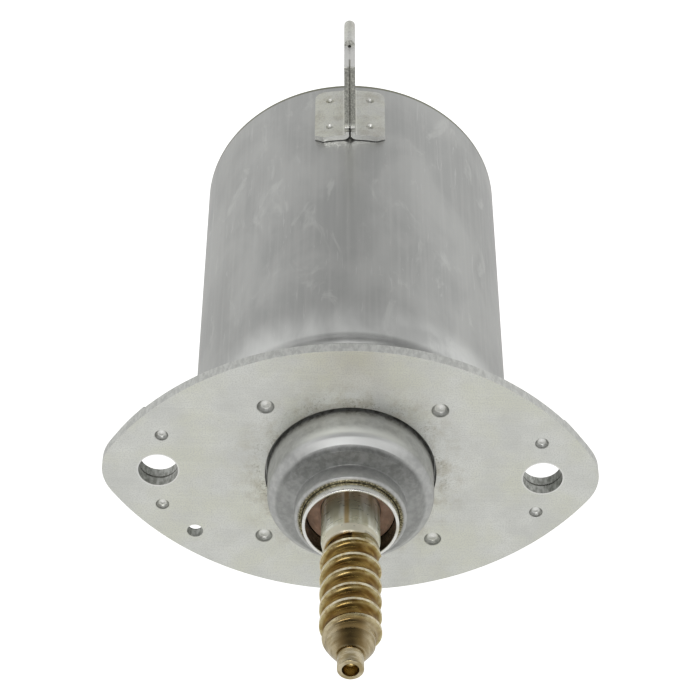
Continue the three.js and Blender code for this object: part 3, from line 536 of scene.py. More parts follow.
def bright_steel():
    """Drawn bright steel with faint rings and a little grease, and painted shade on the sleeve's inner wall."""
    s = Surface("bright_steel", (0.72, 0.72, 0.7), 1.0, 0.16)
    rings = s.noise(0.3 * MM, 3, (30, 1, 30), seed=2)
    smear = s.noise(2.5 * MM, 4, seed=6)
    outside = s.mix(s.range(smear, 0.5, 0.72, 0, 0.5), (0.93, 0.93, 0.9), (0.62, 0.58, 0.46))
    # Painted shade on the sleeve's inner wall.
    inner_wall_shade = s.mix(s.range(smear, 0.4, 0.6), (0.07, 0.075, 0.055), (0.15, 0.15, 0.11))
    bore = s.range(s.from_axis(), 9.14 * MM, 9.08 * MM)
    inner_wall = s.times(bore, s.range(s.y, SEAL_FACE_Y - 0.15 * MM, SEAL_FACE_Y))
    s.set("Base Color", s.mix(inner_wall, outside, inner_wall_shade))
    s.set("Roughness", s.range(smear, 0.3, 0.7, 0.14, 0.3))
    s.bump(rings, 0.01 * MM, 0.5)
    return s.material


def worm_steel():
    """Ground steel under golden oil: brown in the grooves, deepened with painted shade, cream on the crests,
    steel on neck and pin; painted light and shade on the cone and a painted reflection on the neck.
    """
    s = Surface("worm_steel", (0.5, 0.4, 0.22), 1.0, 0.2)
    radius = s.from_axis()
    film = s.noise(0.9 * MM, 3, (3, 1, 3), seed=8)
    drops = s.noise(1.1 * MM, 4, seed=17, rough=0.6)
    rings = s.noise(0.2 * MM, 2, (40, 1, 40), seed=3)
    thin = s.mix(s.range(film, 0.34, 0.66), (0.42, 0.32, 0.12), (0.62, 0.54, 0.31))
    # Deep in the grooves, oil is darkened further as painted shade; it is paler towards the crests.
    groove_oil_and_shade = s.mix(s.range(film, 0.34, 0.66), (0.16, 0.085, 0.018), (0.32, 0.21, 0.06))
    oil = s.mix(s.range(radius, 5.1 * MM, 5.9 * MM), groove_oil_and_shade, thin)
    oil = s.mix(s.range(drops, 0.5, 0.7, 0, 0.6), oil, (0.22, 0.13, 0.05))
    on_cone = s.range(s.y, CONE_REAR + 0.4 * MM, CONE_REAR - 1.4 * MM)
    # Painted light brightens the cone's sides and painted shade darkens its middle, set by x.
    lit_cone_sides = s.mix(s.range(film, 0.36, 0.6), (0.5, 0.42, 0.25), (0.74, 0.66, 0.47))
    cone_middle_shade = s.range(s.maths("ABSOLUTE", s.x), 4 * MM, 1.5 * MM)
    oil = s.mix(s.times(on_cone, 0.7), oil, s.mix(cone_middle_shade, lit_cone_sides, (0.28, 0.2, 0.09)))
    crest = s.mix(s.range(drops, 0.42, 0.66), (0.86, 0.8, 0.62), (0.66, 0.54, 0.32))
    tone = s.mix(s.range(radius, 5.93 * MM, 6.02 * MM), oil, crest)
    runs = s.noise(1.9 * MM, 2, (1, 6, 1), seed=12, rough=0.4)
    steel = s.mix(s.range(runs, 0.4, 0.6), (0.6, 0.58, 0.42), (0.98, 0.98, 0.86))
    # A painted golden reflection along the top of the neck, just left of centre.
    from_left = s.range(s.x, -1.7 * MM, -1.2 * MM)
    from_right = s.range(s.x, -0.2 * MM, -0.7 * MM)
    neck_reflection = s.times(from_left, from_right, s.range(s.z, 0, 1 * MM, 0, 0.8))
    steel = s.mix(neck_reflection, steel, (0.5, 0.34, 0.11))
    pin = s.mix(s.range(film, 0.38, 0.62), (0.42, 0.34, 0.19), (0.66, 0.58, 0.41))
    on_neck = s.range(s.y, NECK_FRONT - 0.4 * MM, NECK_FRONT)
    on_pin = s.range(s.y, PIN_ROOT + 0.4 * MM, PIN_ROOT - 0.4 * MM)
    band = s.times(on_neck, s.range(s.y, NECK_BAND_REAR + 0.1 * MM, NECK_BAND_REAR - 0.3 * MM))
    tone = s.mix(on_neck, tone, s.mix(band, steel, (0.86, 0.82, 0.66)))
    tone = s.mix(on_pin, tone, pin)
    in_hole = s.range(radius, PIN_HOLE + 0.07 * MM, PIN_HOLE - 0.05 * MM)
    in_hole = s.times(in_hole, s.range(s.y, -50 * MM, -51 * MM))
    s.set("Base Color", s.mix(in_hole, tone, (0.4, 0.3, 0.13)))
    s.set("Roughness", s.maths("MULTIPLY_ADD", on_neck, 0.1, s.range(film, 0.3, 0.7, 0.16, 0.28)))
    s.set("Metallic", s.maths("MULTIPLY_ADD", on_neck, -0.4, 1.0))
    s.ground_around(s.times(on_neck, 0.75))
    fine = s.bump(rings, 0.006 * MM, 0.5)
    s.bump(drops, 0.03 * MM, 0.3, fine)
    return s.material


def ground_steel(name, colour, roughness):
    """Turned or rolled steel with fine lines around the shaft and faint stains."""
    s = Surface(name, colour, 1.0, roughness)
    lines = s.noise(0.18 * MM, 2, (30, 1, 30))
    stain = s.noise(3 * MM, 4, seed=5)
    darker = shaded(colour, 0.7)
    s.set("Base Color", s.mix(s.range(stain, 0.45, 0.7, 0, 0.6), colour, darker))
    s.set("Roughness", s.range(stain, 0.3, 0.7, roughness, roughness + 0.14))
    s.bump(lines, 0.008 * MM, 0.6)
    return s.material


def soft_rubber(name, colour):
    """Moulded rubber with a fine grain, slightly glossy where it is greased."""
    s = Surface(name, colour, 0.0, 0.5)
    grain = s.noise(0.2 * MM, 3)
    smear = s.noise(1.8 * MM, 3, seed=4)
    paler = shaded(colour, 1.6)
    s.set("Base Color", s.mix(s.range(smear, 0.4, 0.7, 0, 0.7), colour, paler))
    s.set("Roughness", s.range(smear, 0.35, 0.65, 0.32, 0.62))
    s.bump(grain, 0.03 * MM, 0.6)
    return s.material


def grainy(name, colour, fleck, size, roughness, metallic=0.0):
    """Pressed or sintered material: a fine grain with scattered flecks or pores."""
    s = Surface(name, colour, metallic, roughness)
    grain = s.noise(size, 4, rough=0.65)
    spots = s.range(s.cells(size * 4), 0.22, 0.1)
    tone = s.mix(s.range(grain, 0.4, 0.65), colour, shaded(colour, 0.7))
    s.set("Base Color", s.mix(s.times(spots, 0.8), tone, fleck))
    s.set("Roughness", s.range(grain, 0.3, 0.7, roughness - 0.08, roughness + 0.12))
    s.bump(s.maths("SUBTRACT", grain, spots), 0.05 * MM, 0.6)
    return s.material


def layered(name, colour, gap_colour, pitch, roughness, metallic, axis="y"):
    """Material in thin layers along an axis: stacked sheets or wires laid side by side."""
    s = Surface(name, colour, metallic, roughness)
    along = getattr(s, axis)
    wave = s.maths("SINE", s.times(along, 2 * math.pi / pitch))
    stain = s.noise(4 * MM, 4, seed=3)
    tone = s.mix(s.range(stain, 0.4, 0.7), colour, shaded(colour, 0.75))
    s.set("Base Color", s.mix(s.range(wave, -0.75, -0.95), tone, gap_colour))
    s.set("Roughness", s.range(stain, 0.3, 0.7, roughness, roughness + 0.15))
    s.bump(wave, 0.06 * MM, 0.8)
    return s.material


def moulded(name, colour, roughness):
    """Moulded plastic: a fine spark-eroded texture with flow marks."""
    s = Surface(name, colour, 0.0, roughness)
    texture = s.noise(0.16 * MM, 3, rough=0.6)
    flow = s.noise(7 * MM, 3, (1, 1, 3), seed=6, warp=1.2)
    paler = tuple(min(1, 1.35 * c + 0.004) for c in colour)
    s.set("Base Color", s.mix(s.range(flow, 0.38, 0.68), colour, paler))
    s.set("Roughness", s.range(flow, 0.3, 0.7, roughness - 0.06, roughness + 0.08))
    s.bump(texture, 0.02 * MM, 0.7)
    return s.material


def white_floor():
    """A white table top that glows a little so that shadows stay faint, and more so straight to the eye."""
    s = Surface("white_floor", (0.6, 0.6, 0.6), 0.0, 0.6)
    shade = s.range(s.noise(60 * MM, 2), 0.3, 0.7)
    s.set("Base Color", s.mix(shade, (0.59, 0.59, 0.585), (0.61, 0.61, 0.61)))
    s.set("Emission Color", (1.0, 1.0, 0.99))
    seen = s.tree.nodes.new("ShaderNodeLightPath").outputs["Is Camera Ray"]
    s.set("Emission Strength", s.maths("MULTIPLY_ADD", seen, TABLE_GLOW, TABLE_LIGHT))
    return s.material


MATERIALS = {
    "grey_steel": can_steel(),
    "plated_steel": flange_plate(),
    "bright_steel": bright_steel(),
    "worm_steel": worm_steel(),
    "bearing_steel": ground_steel("bearing_steel", (0.62, 0.63, 0.65), 0.14),
    "spring_steel": ground_steel("spring_steel", (0.42, 0.42, 0.43), 0.26),
    "seal_rubber": soft_rubber("seal_rubber", (0.32, 0.2, 0.14)),
    "ferrite": grainy("ferrite", (0.05, 0.05, 0.055), (0.12, 0.12, 0.12), 0.5 * MM, 0.6),
    "laminations": layered("laminations", (0.34, 0.34, 0.35), (0.05, 0.045, 0.04), 0.5 * MM, 0.35, 0.9),
    "fibre_board": grainy("fibre_board", (0.1, 0.2, 0.14), (0.2, 0.32, 0.22), 0.4 * MM, 0.7),
    "enamelled_copper": layered("enamelled_copper", (0.5, 0.17, 0.05), (0.1, 0.03, 0.01), 0.8 * MM, 0.2, 0.6),
    "copper": ground_steel("copper", (0.75, 0.38, 0.22), 0.22),
    "moulding": moulded("moulding", (0.022, 0.022, 0.024), 0.5),
    "carbon": grainy("carbon", (0.035, 0.034, 0.034), (0.2, 0.12, 0.08), 0.25 * MM, 0.55, 0.2),
    "brass": ground_steel("brass", (0.72, 0.54, 0.24), 0.24),
    "bronze": grainy("bronze", (0.52, 0.34, 0.15), (0.12, 0.07, 0.03), 0.2 * MM, 0.42, 0.95),
    "nylon": moulded("nylon", (0.66, 0.61, 0.46), 0.42),
}
BRACKET_PLATE = bracket_plate()

for entry in frame["record"]["subparts"]:
    node = frame["nodes"][entry["node"]]
    node.data.materials.clear()
    node.data.materials.append(MATERIALS[entry["material_slot"]])

# ------------------------------------------------------------------ pole housing

NOSE_RADIUS = 16.9 * MM
RING_RADIUS = 11.3 * MM
BARREL_FRONT = FLANGE_BACK + 0.1 * MM
WALL = 2.5 * MM
CHAMBER_RADIUS = 14.1 * MM
CHAMBER_FRONT = -8 * MM
STAKES = 8


def pole_housing():
    """The drawn cup with a stepped nose. Stakes fold a little of its rim over the rear cap."""
    bore = CASE_RADIUS + 0.1 * MM
    inside = CAN_RADIUS - WALL
    outline = filleted(
        [
            (bore, NOSE_TIP, 0.25 * MM),
            (RING_RADIUS, NOSE_TIP, 0.45 * MM),
            (RING_RADIUS, RING_ROOT, 0.35 * MM),
            (14.4 * MM, -9.75 * MM, 0.2 * MM),
            (14.75 * MM, SHOULDER_Y, 0.5 * MM),
            (NOSE_RADIUS, -7.4 * MM, 1.6 * MM),
            (NOSE_RADIUS, BARREL_FRONT, 0.3 * MM),
            (CAN_RADIUS, BARREL_FRONT, 3.1 * MM),
            (CAN_RADIUS, CAN_REAR, 0.35 * MM),
            (inside, CAN_REAR, 0.2 * MM),
            (inside, BARREL_FRONT + WALL, 1.2 * MM),
            (CHAMBER_RADIUS, BARREL_FRONT + WALL, 0.5 * MM),
            (CHAMBER_RADIUS, CHAMBER_FRONT, 0.3 * MM),
            (bore, CHAMBER_FRONT, 0.2 * MM),
        ],
        steps=8,
    )
    cup = turned("can_shell", outline, FINE)
    tabs = []
    tab_low = (-1.5 * MM, CAN_REAR - 0.75 * MM, inside - 1.3 * MM)
    tab_high = (1.5 * MM, CAN_REAR - 0.12 * MM, inside + 0.4 * MM)
    for i in range(STAKES):
        tab = box("tab", tab_low, tab_high)
        tabs.append(moved(edged(tab, 0.15 * MM), around_shaft(360 * (i + 0.5) / STAKES)))
    combined(cup, tabs, "UNION")
    smooth(cup)
    return finished(cup, "housing", "grey_steel", MATERIALS["grey_steel"], "pole_housing")


pole_housing()

# ------------------------------------------------------------------ mounting flange and doublers

SIDE_RADIUS = 58.8 * MM
SIDE_CENTRE = SIDE_RADIUS - flange_high.z
END_RADIUS = 10 * MM
END_CENTRE = flange_high.x - END_RADIUS


def lens_outline(inset=0.0):
    """Two long arcs that run tangent into two end arcs."""
    tangent = math.degrees(math.atan2(SIDE_CENTRE, END_CENTRE))
    side = SIDE_RADIUS - inset
    end = END_RADIUS - inset
    return (
        arc((0, -SIDE_CENTRE), side, tangent, 180 - tangent, 120)[:-1]
        + arc((-END_CENTRE, 0), end, 180 - tangent, 180 + tangent, 24)[:-1]
        + arc((0, SIDE_CENTRE), side, 180 + tangent, 360 - tangent, 120)[:-1]
        + arc((END_CENTRE, 0), end, -tangent, tangent, 24)[:-1]
    )


def drill(x, z, radius, low, high, sides=64):
    outline = [(0, low), (radius, low), (radius, high), (0, high)]
    return moved(turned("drill", outline, sides), Matrix.Translation((x, 0, z)))


def weld_punch(x, z, radius, floor, depth):
    """A punch with a sloping wall, a rounded bottom corner and a small centre rise."""
    outline = filleted(
        [
            (0, -1 * MM),
            (radius, -1 * MM),
            (radius, 0),
            (0.9 * radius, 0.45 * depth, 0.2 * MM),
            (floor, depth, 0.25 * MM),
            (0.4 * floor, 0.85 * depth, 0.2 * MM),
            (0, 0.7 * depth),
        ],
        steps=3,
    )
    return moved(turned("punch", outline, 40), Matrix.Translation((x, 0, z)))


def mounting_flange():
    plate = prism("flange_plate", lens_outline(), 0, FLANGE_BACK)
    through = (-1 * MM, FLANGE_BACK + 1 * MM)
    cutters = [
        drill(0, 0, NOSE_HOLE, *through, sides=128),
        drill(-DRAIN_X, -DRAIN_Z, DRAIN_RADIUS, *through, sides=40),
    ]
    for side in (-1, 1):
        cutters.append(drill(side * BOLT_X, 0, BOLT_RADIUS, *through))
        for up in (-1, 1):
            for x, z, radius, floor_radius, depth in WELDS:
                cutters.append(weld_punch(side * x, up * z, radius, floor_radius, depth))
    combined(plate, cutters, "DIFFERENCE")
    edged(plate, 0.12 * MM)
    return finished(plate, "housing", "plated_steel", MATERIALS["plated_steel"], "mounting_flange")


def ear_doubler(side):
    """A second plate behind one ear, cut straight on the side of the can."""
    low, high = doubler_boxes[side]
    plate = prism(f"doubler_{side}", lens_outline(1 * MM), low.y, high.y)
    keep = box("window", (low.x, low.y - 1 * MM, low.z), (high.x, high.y + 1 * MM, high.z))
    sign = -1 if side == "left" else 1
    combined(plate, [keep], "INTERSECT")
    combined(plate, [drill(sign * BOLT_X, 0, BOLT_RADIUS, low.y - 1 * MM, high.y + 1 * MM)], "DIFFERENCE")
    edged(plate, 0.2 * MM)
    return finished(plate, "housing", "plated_steel", MATERIALS["plated_steel"], f"ear_doubler_{side}")


mounting_flange()
for side_name in ("left", "right"):
    ear_doubler(side_name)

# ------------------------------------------------------------------ folded bracket

SHEET = 1.16 * MM
WEB_GAP = 0.02 * MM
BRACKET_TURN = -1.9
FOOT_HALF = 7.65 * MM
FOOT_INSIDE = CAN_RADIUS + 0.15 * MM
RIDGE = 52.4 * MM
WEB_FRONT = 75 * MM
WEB_REAR = 90.5 * MM
HOLE_Y, HOLE_Z, HOLE_RADIUS = 84 * MM, 44.5 * MM, 3.5 * MM
SEAM_HALF = 0.2 * MM
SEAM_DEPTH = 1.5 * MM
SPOT_X = 4.4 * MM
SPOT_Y = (77.3 * MM, 87.5 * MM)


def bracket_section():
    """Middle line of the folded sheet in X and Z: up one side of the web, over the fold and down the other."""
    middle = FOOT_INSIDE + SHEET / 2
    half_web = (WEB_GAP + SHEET) / 2
    bend = SHEET / 2 + 0.45 * MM
    root = bend + half_web
    foot_angle = math.degrees(math.asin(root / middle))
    tip_angle = math.degrees(math.asin(FOOT_HALF / middle)) + 1
    foot = arc((0, 0), middle, 90 - tip_angle, 90 - foot_angle, 10)
    bend_centre = (root, foot[-1][1] + bend)
    turn = arc(bend_centre, bend, 270 - foot_angle, 180, 6)
    fold = arc((0, RIDGE - half_web - SHEET / 2), half_web, 0, 90, 6)
    right = foot + turn[1:] + fold
    left = [(-x, z) for x, z in reversed(right[:-1])]
    return right + left


def thickened(line, thickness):
    """Closed outline of a strip of this thickness around an open line."""
    sides = ([], [])
    for i, point in enumerate(line):
        before = Vector(line[max(i - 1, 0)])
        after = Vector(line[min(i + 1, len(line) - 1)])
        along = (after - before).normalized()
        across = Vector((-along.y, along.x)) * thickness / 2
        here = Vector(point)
        sides[0].append(tuple(here + across))
        sides[1].append(tuple(here - across))
    return sides[0] + sides[1][::-1]


def rear_bracket():
    low_y = bracket_low.y
    high_y = bracket_high.y
    sheet = prism("bracket_sheet", thickened(bracket_section(), SHEET), low_y, high_y)
    plan = filleted(
        [
            (-FOOT_HALF + 1.8 * MM, low_y),
            (FOOT_HALF - 1.8 * MM, low_y),
            (FOOT_HALF, low_y + 1.3 * MM),
            (FOOT_HALF, high_y, 2 * MM),
            (-FOOT_HALF, high_y, 2 * MM),
            (-FOOT_HALF, low_y + 1.3 * MM),
        ]
    )
    side = filleted(
        [
            (low_y - 1 * MM, 20 * MM),
            (high_y + 1 * MM, 20 * MM),
            (high_y + 1 * MM, FOOT_TOP),
            (WEB_REAR, FOOT_TOP, 0.6 * MM),
            (WEB_REAR, RIDGE + 1 * MM),
            (WEB_STEP_Y + 0.5 * MM, RIDGE + 1 * MM),
            (WEB_STEP_Y, 50.95 * MM, 0.2 * MM),
            (WEB_FRONT, WEB_CORNER_Z, 0.4 * MM),
            (WEB_FRONT, FOOT_TOP, 0.6 * MM),
            (low_y - 1 * MM, FOOT_TOP),
        ]
    )
    keep = [prism("plan", plan, 20 * MM, RIDGE + 2 * MM, "Z"), prism("side", side, -20 * MM, 20 * MM, "X")]
    combined(sheet, keep, "INTERSECT")
    hole = turned("hole", [(0, -9 * MM), (HOLE_RADIUS, -9 * MM), (HOLE_RADIUS, 9 * MM), (0, 9 * MM)], 64)
    moved(hole, Matrix.Rotation(math.radians(90), 4, "Z"))
    moved(hole, Matrix.Translation((0, HOLE_Y, HOLE_Z)))
    seam_top = RIDGE - SHEET - 0.3 * MM
    bulb = turned("bulb", [(0, low_y), (0.34 * MM, low_y), (0.34 * MM, 84 * MM), (0, 84 * MM)], 24)
    seam = [
        (low_y, 33.6 * MM),
        (WEB_FRONT + SEAM_DEPTH, 33.6 * MM),
        (WEB_FRONT + SEAM_DEPTH, 49.4 * MM),
        (78 * MM, seam_top),
        (low_y, seam_top),
    ]
    cutters = [
        hole,
        moved(bulb, Matrix.Translation((0, 0, seam_top))),
        prism("seam", seam, -SEAM_HALF, SEAM_HALF, "X"),
    ]
    spot_outline = filleted(
        [
            (0, -0.3 * MM),
            (0.3 * MM, -0.6 * MM, 0.15 * MM),
            (0.7 * MM, -0.6 * MM, 0.15 * MM),
            (1 * MM, 0.4 * MM),
            (0, 0.4 * MM),
        ],
        steps=3,
    )
    top = FOOT_INSIDE + SHEET
    for x in (-SPOT_X, SPOT_X):
        for y in SPOT_Y:
            spot = turned("spot", spot_outline, 32)
            moved(spot, Matrix.Rotation(math.radians(90), 4, "X"))
            moved(spot, Matrix.Translation((0, y, top)))
            cutters.append(moved(spot, around_shaft(math.degrees(math.asin(x / top)))))
    combined(sheet, cutters, "DIFFERENCE")
    edged(sheet, 0.1 * MM, 2, 38)
    moved(sheet, around_shaft(BRACKET_TURN))
    return finished(sheet, "housing", "plated_steel", BRACKET_PLATE, "rear_bracket")


rear_bracket()

# ------------------------------------------------------------------ shaft seal

NECK = 5.9 * MM


def seal_case():
    inside = 9.05 * MM
    outline = filleted(
        [
            (inside, case_low.y, 0.3 * MM),
            (CASE_RADIUS, case_low.y, 0.34 * MM),
            (CASE_RADIUS, case_high.y, 0.3 * MM),
            (8.1 * MM, case_high.y),
            (8.1 * MM, case_high.y - 0.6 * MM),
            (inside, case_high.y - 0.6 * MM, 0.2 * MM),
        ]
    )
    sleeve = turned("seal_sleeve", outline, FINE)
    return finished(sleeve, "housing", "bright_steel", MATERIALS["bright_steel"], "seal_case")


def shaft_seal():
    """The rubber face, dished towards a thin lip that almost meets the shaft."""
    front = seal_low.y
    outer = seal_high.x - 0.02 * MM
    outline = filleted(
        [
            (NECK + 0.12 * MM, front + 0.35 * MM, 0.1 * MM),
            (NECK + 1 * MM, front + 0.1 * MM, 0.3 * MM),
            (outer - 0.9 * MM, front + 0.25 * MM, 0.3 * MM),
            (outer - 0.6 * MM, front, 0.15 * MM),
            (outer, front, 0.1 * MM),
            (outer, front + 0.9 * MM),
            (NECK + 0.95 * MM, front + 0.9 * MM),
            (NECK + 0.9 * MM, seal_high.y),
            (NECK + 0.3 * MM, seal_high.y),
        ],
        steps=4,
    )
    lip = turned("seal_lip", outline, FINE)
    return finished(lip, "housing", "seal_rubber", MATERIALS["seal_rubber"], "shaft_seal")


seal_case()
shaft_seal()

# ------------------------------------------------------------------ worm shaft

WORM_RADIUS = shaft_high.x
WORM_ROOT = 4.8 * MM
WORM_PITCH = 4.27 * MM
WORM_CREST = -34.9 * MM
WORM_REAR = -25.7 * MM
HALF_LAND = 0.32 * MM
GROOVE_POWER = 2.2
WORM_SIDES = 144
ROWS_PER_TURN = 36
CONE_TIP = 2.9 * MM
CONE_BULGE = 0.35 * MM


def groove_depth(y, angle):
    """Share of the full thread depth at a place on the worm: 0 on the crest, 1 in mid groove."""
    turns = (y - WORM_CREST) / WORM_PITCH - angle / (2 * math.pi)
    from_crest = abs(turns - round(turns)) * WORM_PITCH
    half_groove = WORM_PITCH / 2 - HALF_LAND
    from_middle = (WORM_PITCH / 2 - from_crest) / half_groove
    if from_middle >= 1:
        return 0.0
    return (1 - from_middle**GROOVE_POWER) ** (1 / GROOVE_POWER)


def cone_radius(y):
    """Outside radius of the worm: full, then falling in a rounded cone to the pin."""
    along = min(max((y - PIN_ROOT) / (CONE_REAR - PIN_ROOT), 0), 1)
    if along == 1:
        return WORM_RADIUS
    return CONE_TIP + (WORM_RADIUS - CONE_TIP) * along + CONE_BULGE * math.sin(math.pi * along)


def worm_point(y, angle):
    radius = cone_radius(y)
    if radius > WORM_ROOT:
        radius -= groove_depth(y, angle) * (radius - WORM_ROOT)
    return radius * math.sin(angle), y, radius * math.cos(angle)


def add_thread(bm):
    """Adds the worm's skin on a grid that follows the helix, and returns its flat first and last rings."""
    step = WORM_PITCH / ROWS_PER_TURN
    last = math.ceil((WORM_REAR - PIN_ROOT) / step) + ROWS_PER_TURN
    grid = []
    for i in range(last + ROWS_PER_TURN + 1):
        row = []
        for j in range(WORM_SIDES):
            y = PIN_ROOT + step * (i - ROWS_PER_TURN) + WORM_PITCH * j / WORM_SIDES
            angle = 2 * math.pi * j / WORM_SIDES
            row.append(bm.verts.new(worm_point(min(max(y, PIN_ROOT), WORM_REAR), angle)))
        grid.append(row)
    for i in range(last):
        for j in range(WORM_SIDES - 1):
            bm.faces.new((grid[i][j], grid[i][j + 1], grid[i + 1][j + 1], grid[i + 1][j]))
        turn = i + ROWS_PER_TURN
        bm.faces.new((grid[i][-1], grid[turn][0], grid[turn + 1][0], grid[i + 1][-1]))
    return grid[0], grid[last]


def worm_shaft():
    tip = shaft_low.y
    front = filleted(
        [
            (0, tip + 4.2 * MM),
            (1.55 * MM, tip + 2.6 * MM, 0.1 * MM),
            (PIN_HOLE, tip, 0.12 * MM),
            (2.6 * MM, tip, 0.34 * MM),
            (2.6 * MM, PIN_ROOT, 0.3 * MM),
        ],
        steps=4,
    )
    back = filleted(
        [
            (4.9 * MM, WORM_REAR + 0.3 * MM, 0.2 * MM),
            (4.9 * MM, -23.7 * MM, 0.2 * MM),
            (5.55 * MM, NECK_FRONT, 0.15 * MM),
            (5.75 * MM, NECK_BAND_REAR, 0.15 * MM),
            (NECK, -20.8 * MM, 0.15 * MM),
            (NECK, -8.4 * MM),
            (5.2 * MM, -8.4 * MM),
            (5.2 * MM, -7.3 * MM),
            (NECK, -7.3 * MM),
            (NECK, 91.6 * MM, 0.2 * MM),
            (4 * MM, 91.6 * MM),
            (4 * MM, shaft_high.y, 0.4 * MM),
            (0, shaft_high.y),
        ],
        steps=3,
    )
    bm = bmesh.new()
    first, last = add_thread(bm)
    skin(bm, rings_of(bm, front, WORM_SIDES) + [first], closed_rows=False)
    skin(bm, [last] + rings_of(bm, back, WORM_SIDES), closed_rows=False)
    bmesh.ops.remove_doubles(bm, verts=bm.verts, dist=0.0001 * MM)
    shaft = smooth(new_object("worm", bm), 40)
    return finished(shaft, "rotor", "worm_steel", MATERIALS["worm_steel"], "worm_shaft")


worm_shaft()

# ------------------------------------------------------------------ rear cap and connector

CAP_RADIUS = cap_high.x
CAP_FRONT = cap_low.y
CAP_BACK = 94.7 * MM
SOCKET_Z = -18.6 * MM
CAP_RIBS = 8


def rear_cap():
    """Moulded cap: sealing groove, bearing boss, ribs and a connector socket that points back."""
    boss = 9.8 * MM
    boss_back = 101.4 * MM
    outline = filleted(
        [
            (7.6 * MM, CAP_FRONT),
            (CAP_RADIUS, CAP_FRONT, 0.2 * MM),
            (CAP_RADIUS, 92.7 * MM),
            (28.2 * MM, 92.7 * MM),
            (28.2 * MM, 94.1 * MM),
            (CAP_RADIUS, 94.1 * MM),
            (CAP_RADIUS, CAP_BACK, 0.15 * MM),
            (27 * MM, CAP_BACK, 0.2 * MM),
            (26.4 * MM, CAP_BACK - 0.6 * MM, 0.2 * MM),
            (boss, CAP_BACK - 0.6 * MM, 1 * MM),
            (boss, boss_back, 1 * MM),
            (5 * MM, boss_back, 0.4 * MM),
            (4.4 * MM, boss_back - 0.5 * MM, 0.2 * MM),
            (0, boss_back - 0.5 * MM),
            (0, 99.6 * MM),
            (7.6 * MM, 99.6 * MM),
        ]
    )
    cap = turned("rear_cap_moulding", outline, FINE)
    additions = []
    rib_low = (-0.6 * MM, CAP_BACK - 1.4 * MM, boss - 1 * MM)
    rib_high = (0.6 * MM, CAP_BACK + 2.2 * MM, 26.8 * MM)
    for i in range(CAP_RIBS):
        additions.append(moved(box("rib", rib_low, rib_high), around_shaft(360 * i / CAP_RIBS)))
    high = cap_high.y
    frame_outline = filleted(
        [
            (-11 * MM, SOCKET_Z - 6.5 * MM, 2 * MM),
            (11 * MM, SOCKET_Z - 6.5 * MM, 2 * MM),
            (11 * MM, SOCKET_Z + 6.5 * MM, 1.2 * MM),
            (-11 * MM, SOCKET_Z + 6.5 * MM, 1.2 * MM),
        ]
    )
    additions.append(prism("shroud", frame_outline, CAP_BACK - 1 * MM, high))
    collar = [(x * 1.06, SOCKET_Z + (z - SOCKET_Z) * 1.09) for x, z in frame_outline]
    additions.append(prism("collar", collar, CAP_BACK - 1 * MM, CAP_BACK + 2.8 * MM))
    latch = [
        (102 * MM, SOCKET_Z),
        (106 * MM, SOCKET_Z),
        (106 * MM, SOCKET_Z + 8 * MM),
        (105 * MM, SOCKET_Z + 8 * MM),
        (102 * MM, SOCKET_Z + 6.6 * MM),
    ]
    additions.append(prism("latch", latch, -3 * MM, 3 * MM, "X"))
    for x in (-7 * MM, 7 * MM):
        key_low = (x - 0.6 * MM, CAP_BACK + 2 * MM, SOCKET_Z)
        key_high = (x + 0.6 * MM, high - 0.4 * MM, SOCKET_Z + 7.3 * MM)
        additions.append(box("key", key_low, key_high))
    combined(cap, additions, "UNION")
    cavity = filleted(
        [
            (-9.3 * MM, SOCKET_Z - 4.8 * MM, 0.9 * MM),
            (9.3 * MM, SOCKET_Z - 4.8 * MM, 0.9 * MM),
            (9.3 * MM, SOCKET_Z + 4.8 * MM, 0.5 * MM),
            (-9.3 * MM, SOCKET_Z + 4.8 * MM, 0.5 * MM),
        ]
    )
    cutters = [prism("cavity", cavity, 98 * MM, high + 1 * MM)]
    for name in ("terminal_left", "terminal_right"):
        low_corner, high_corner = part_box(name)
        margin = Vector((0.1 * MM, 2 * MM, 0.1 * MM))
        cutters.append(box("slot", low_corner - margin, high_corner + margin))
    combined(cap, cutters, "DIFFERENCE")
    edged(cap, 0.2 * MM, 2, 40)
    return finished(cap, "housing", "moulding", MATERIALS["moulding"], "rear_cap")


rear_cap()

# ------------------------------------------------------------------ stage, light and camera

FLOOR_Z = cad_box[0][2] - 0.2 * MM


def floor():
    reach = 3.0
    bm = bmesh.new()
    corners = [(-reach, -reach), (reach, -reach), (reach, reach), (-reach, reach)]
    bm.faces.new([bm.verts.new((x, y, FLOOR_Z)) for x, y in corners])
    plane = new_object("floor", bm)
    plane.data.materials.append(white_floor())


def area_light(name, place, target, size, power):
    """A rectangular panel of this width and length that faces the target."""
    light = bpy.data.lights.new(name, "AREA")
    light.shape = "RECTANGLE"
    light.size, light.size_y = size
    light.energy = power
    lamp = bpy.data.objects.new(name, light)
    lamp.location = place
    lamp.rotation_euler = (Vector(target) - Vector(place)).to_track_quat("-Z", "Y").to_euler()
    bpy.context.scene.collection.objects.link(lamp)


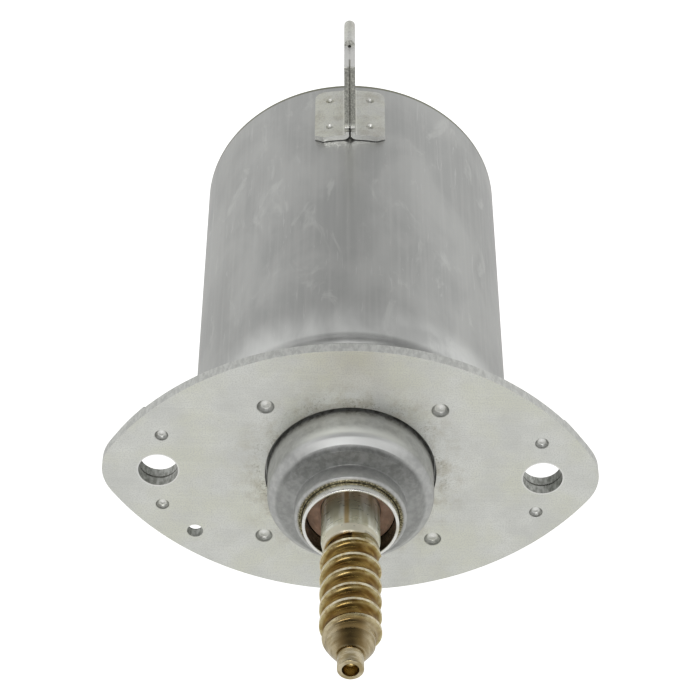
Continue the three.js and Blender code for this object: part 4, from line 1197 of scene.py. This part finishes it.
def camera():
    """Looks at the motor from in front and above, along the shaft."""
    azimuth = math.radians(-1.224)
    elevation = math.radians(38.009)
    roll = math.radians(2.039)
    distance = 628.195 * MM
    target = Vector((0, 48.225 * MM, -5.553 * MM))
    level = Vector((math.sin(azimuth), -math.cos(azimuth), 0)) * math.cos(elevation)
    back = level + Vector((0, 0, math.sin(elevation)))
    lens = bpy.data.cameras.new("camera")
    lens.sensor_width = 36
    lens.lens = 147.97
    lens.clip_start = 0.01
    eye = bpy.data.objects.new("camera", lens)
    turn = back.to_track_quat("Z", "Y").to_matrix().to_4x4() @ Matrix.Rotation(roll, 4, "Z")
    eye.matrix_world = Matrix.Translation(target + back * distance) @ turn
    bpy.context.scene.collection.objects.link(eye)
    bpy.context.scene.camera = eye


def studio():
    """A pale room: bright near the horizon, dark above, a little brighter behind and to the right."""
    world = bpy.data.worlds.new("studio")
    world.use_nodes = True
    tree = world.node_tree

    def maths(operation, *values):
        node = tree.nodes.new("ShaderNodeMath")
        node.operation = operation
        for socket, value in zip(node.inputs, values):
            if isinstance(value, bpy.types.NodeSocket):
                tree.links.new(value, socket)
            else:
                socket.default_value = value
        return node.outputs[0]

    split = tree.nodes.new("ShaderNodeSeparateXYZ")
    tree.links.new(tree.nodes.new("ShaderNodeTexCoord").outputs["Generated"], split.inputs[0])
    x, y, z = split.outputs
    strength = maths("MULTIPLY_ADD", maths("MULTIPLY", z, z), CEILING_LIGHT - WALL_LIGHT, WALL_LIGHT)
    strength = maths("MULTIPLY_ADD", maths("MAXIMUM", y, 0.0), BACK_LIGHT, strength)
    strength = maths("MULTIPLY_ADD", x, RIGHT_LIGHT, strength)
    tree.links.new(maths("MAXIMUM", strength, 0.0), tree.nodes["Background"].inputs["Strength"])
    tree.nodes["Background"].inputs["Color"].default_value = (1, 1, 1, 1)
    bpy.context.scene.world = world
    bpy.context.scene.view_settings.view_transform = "Standard"


studio()
floor()
area_light("key_light", (-0.2, -1.25, 0.72), (0, 0, 0), (0.8, 0.35), 3.4)
area_light("strip_light", (-0.36, 0.1, 1.0), (0, 0.1, 0), (0.08, 2.4), 0.8)
camera()
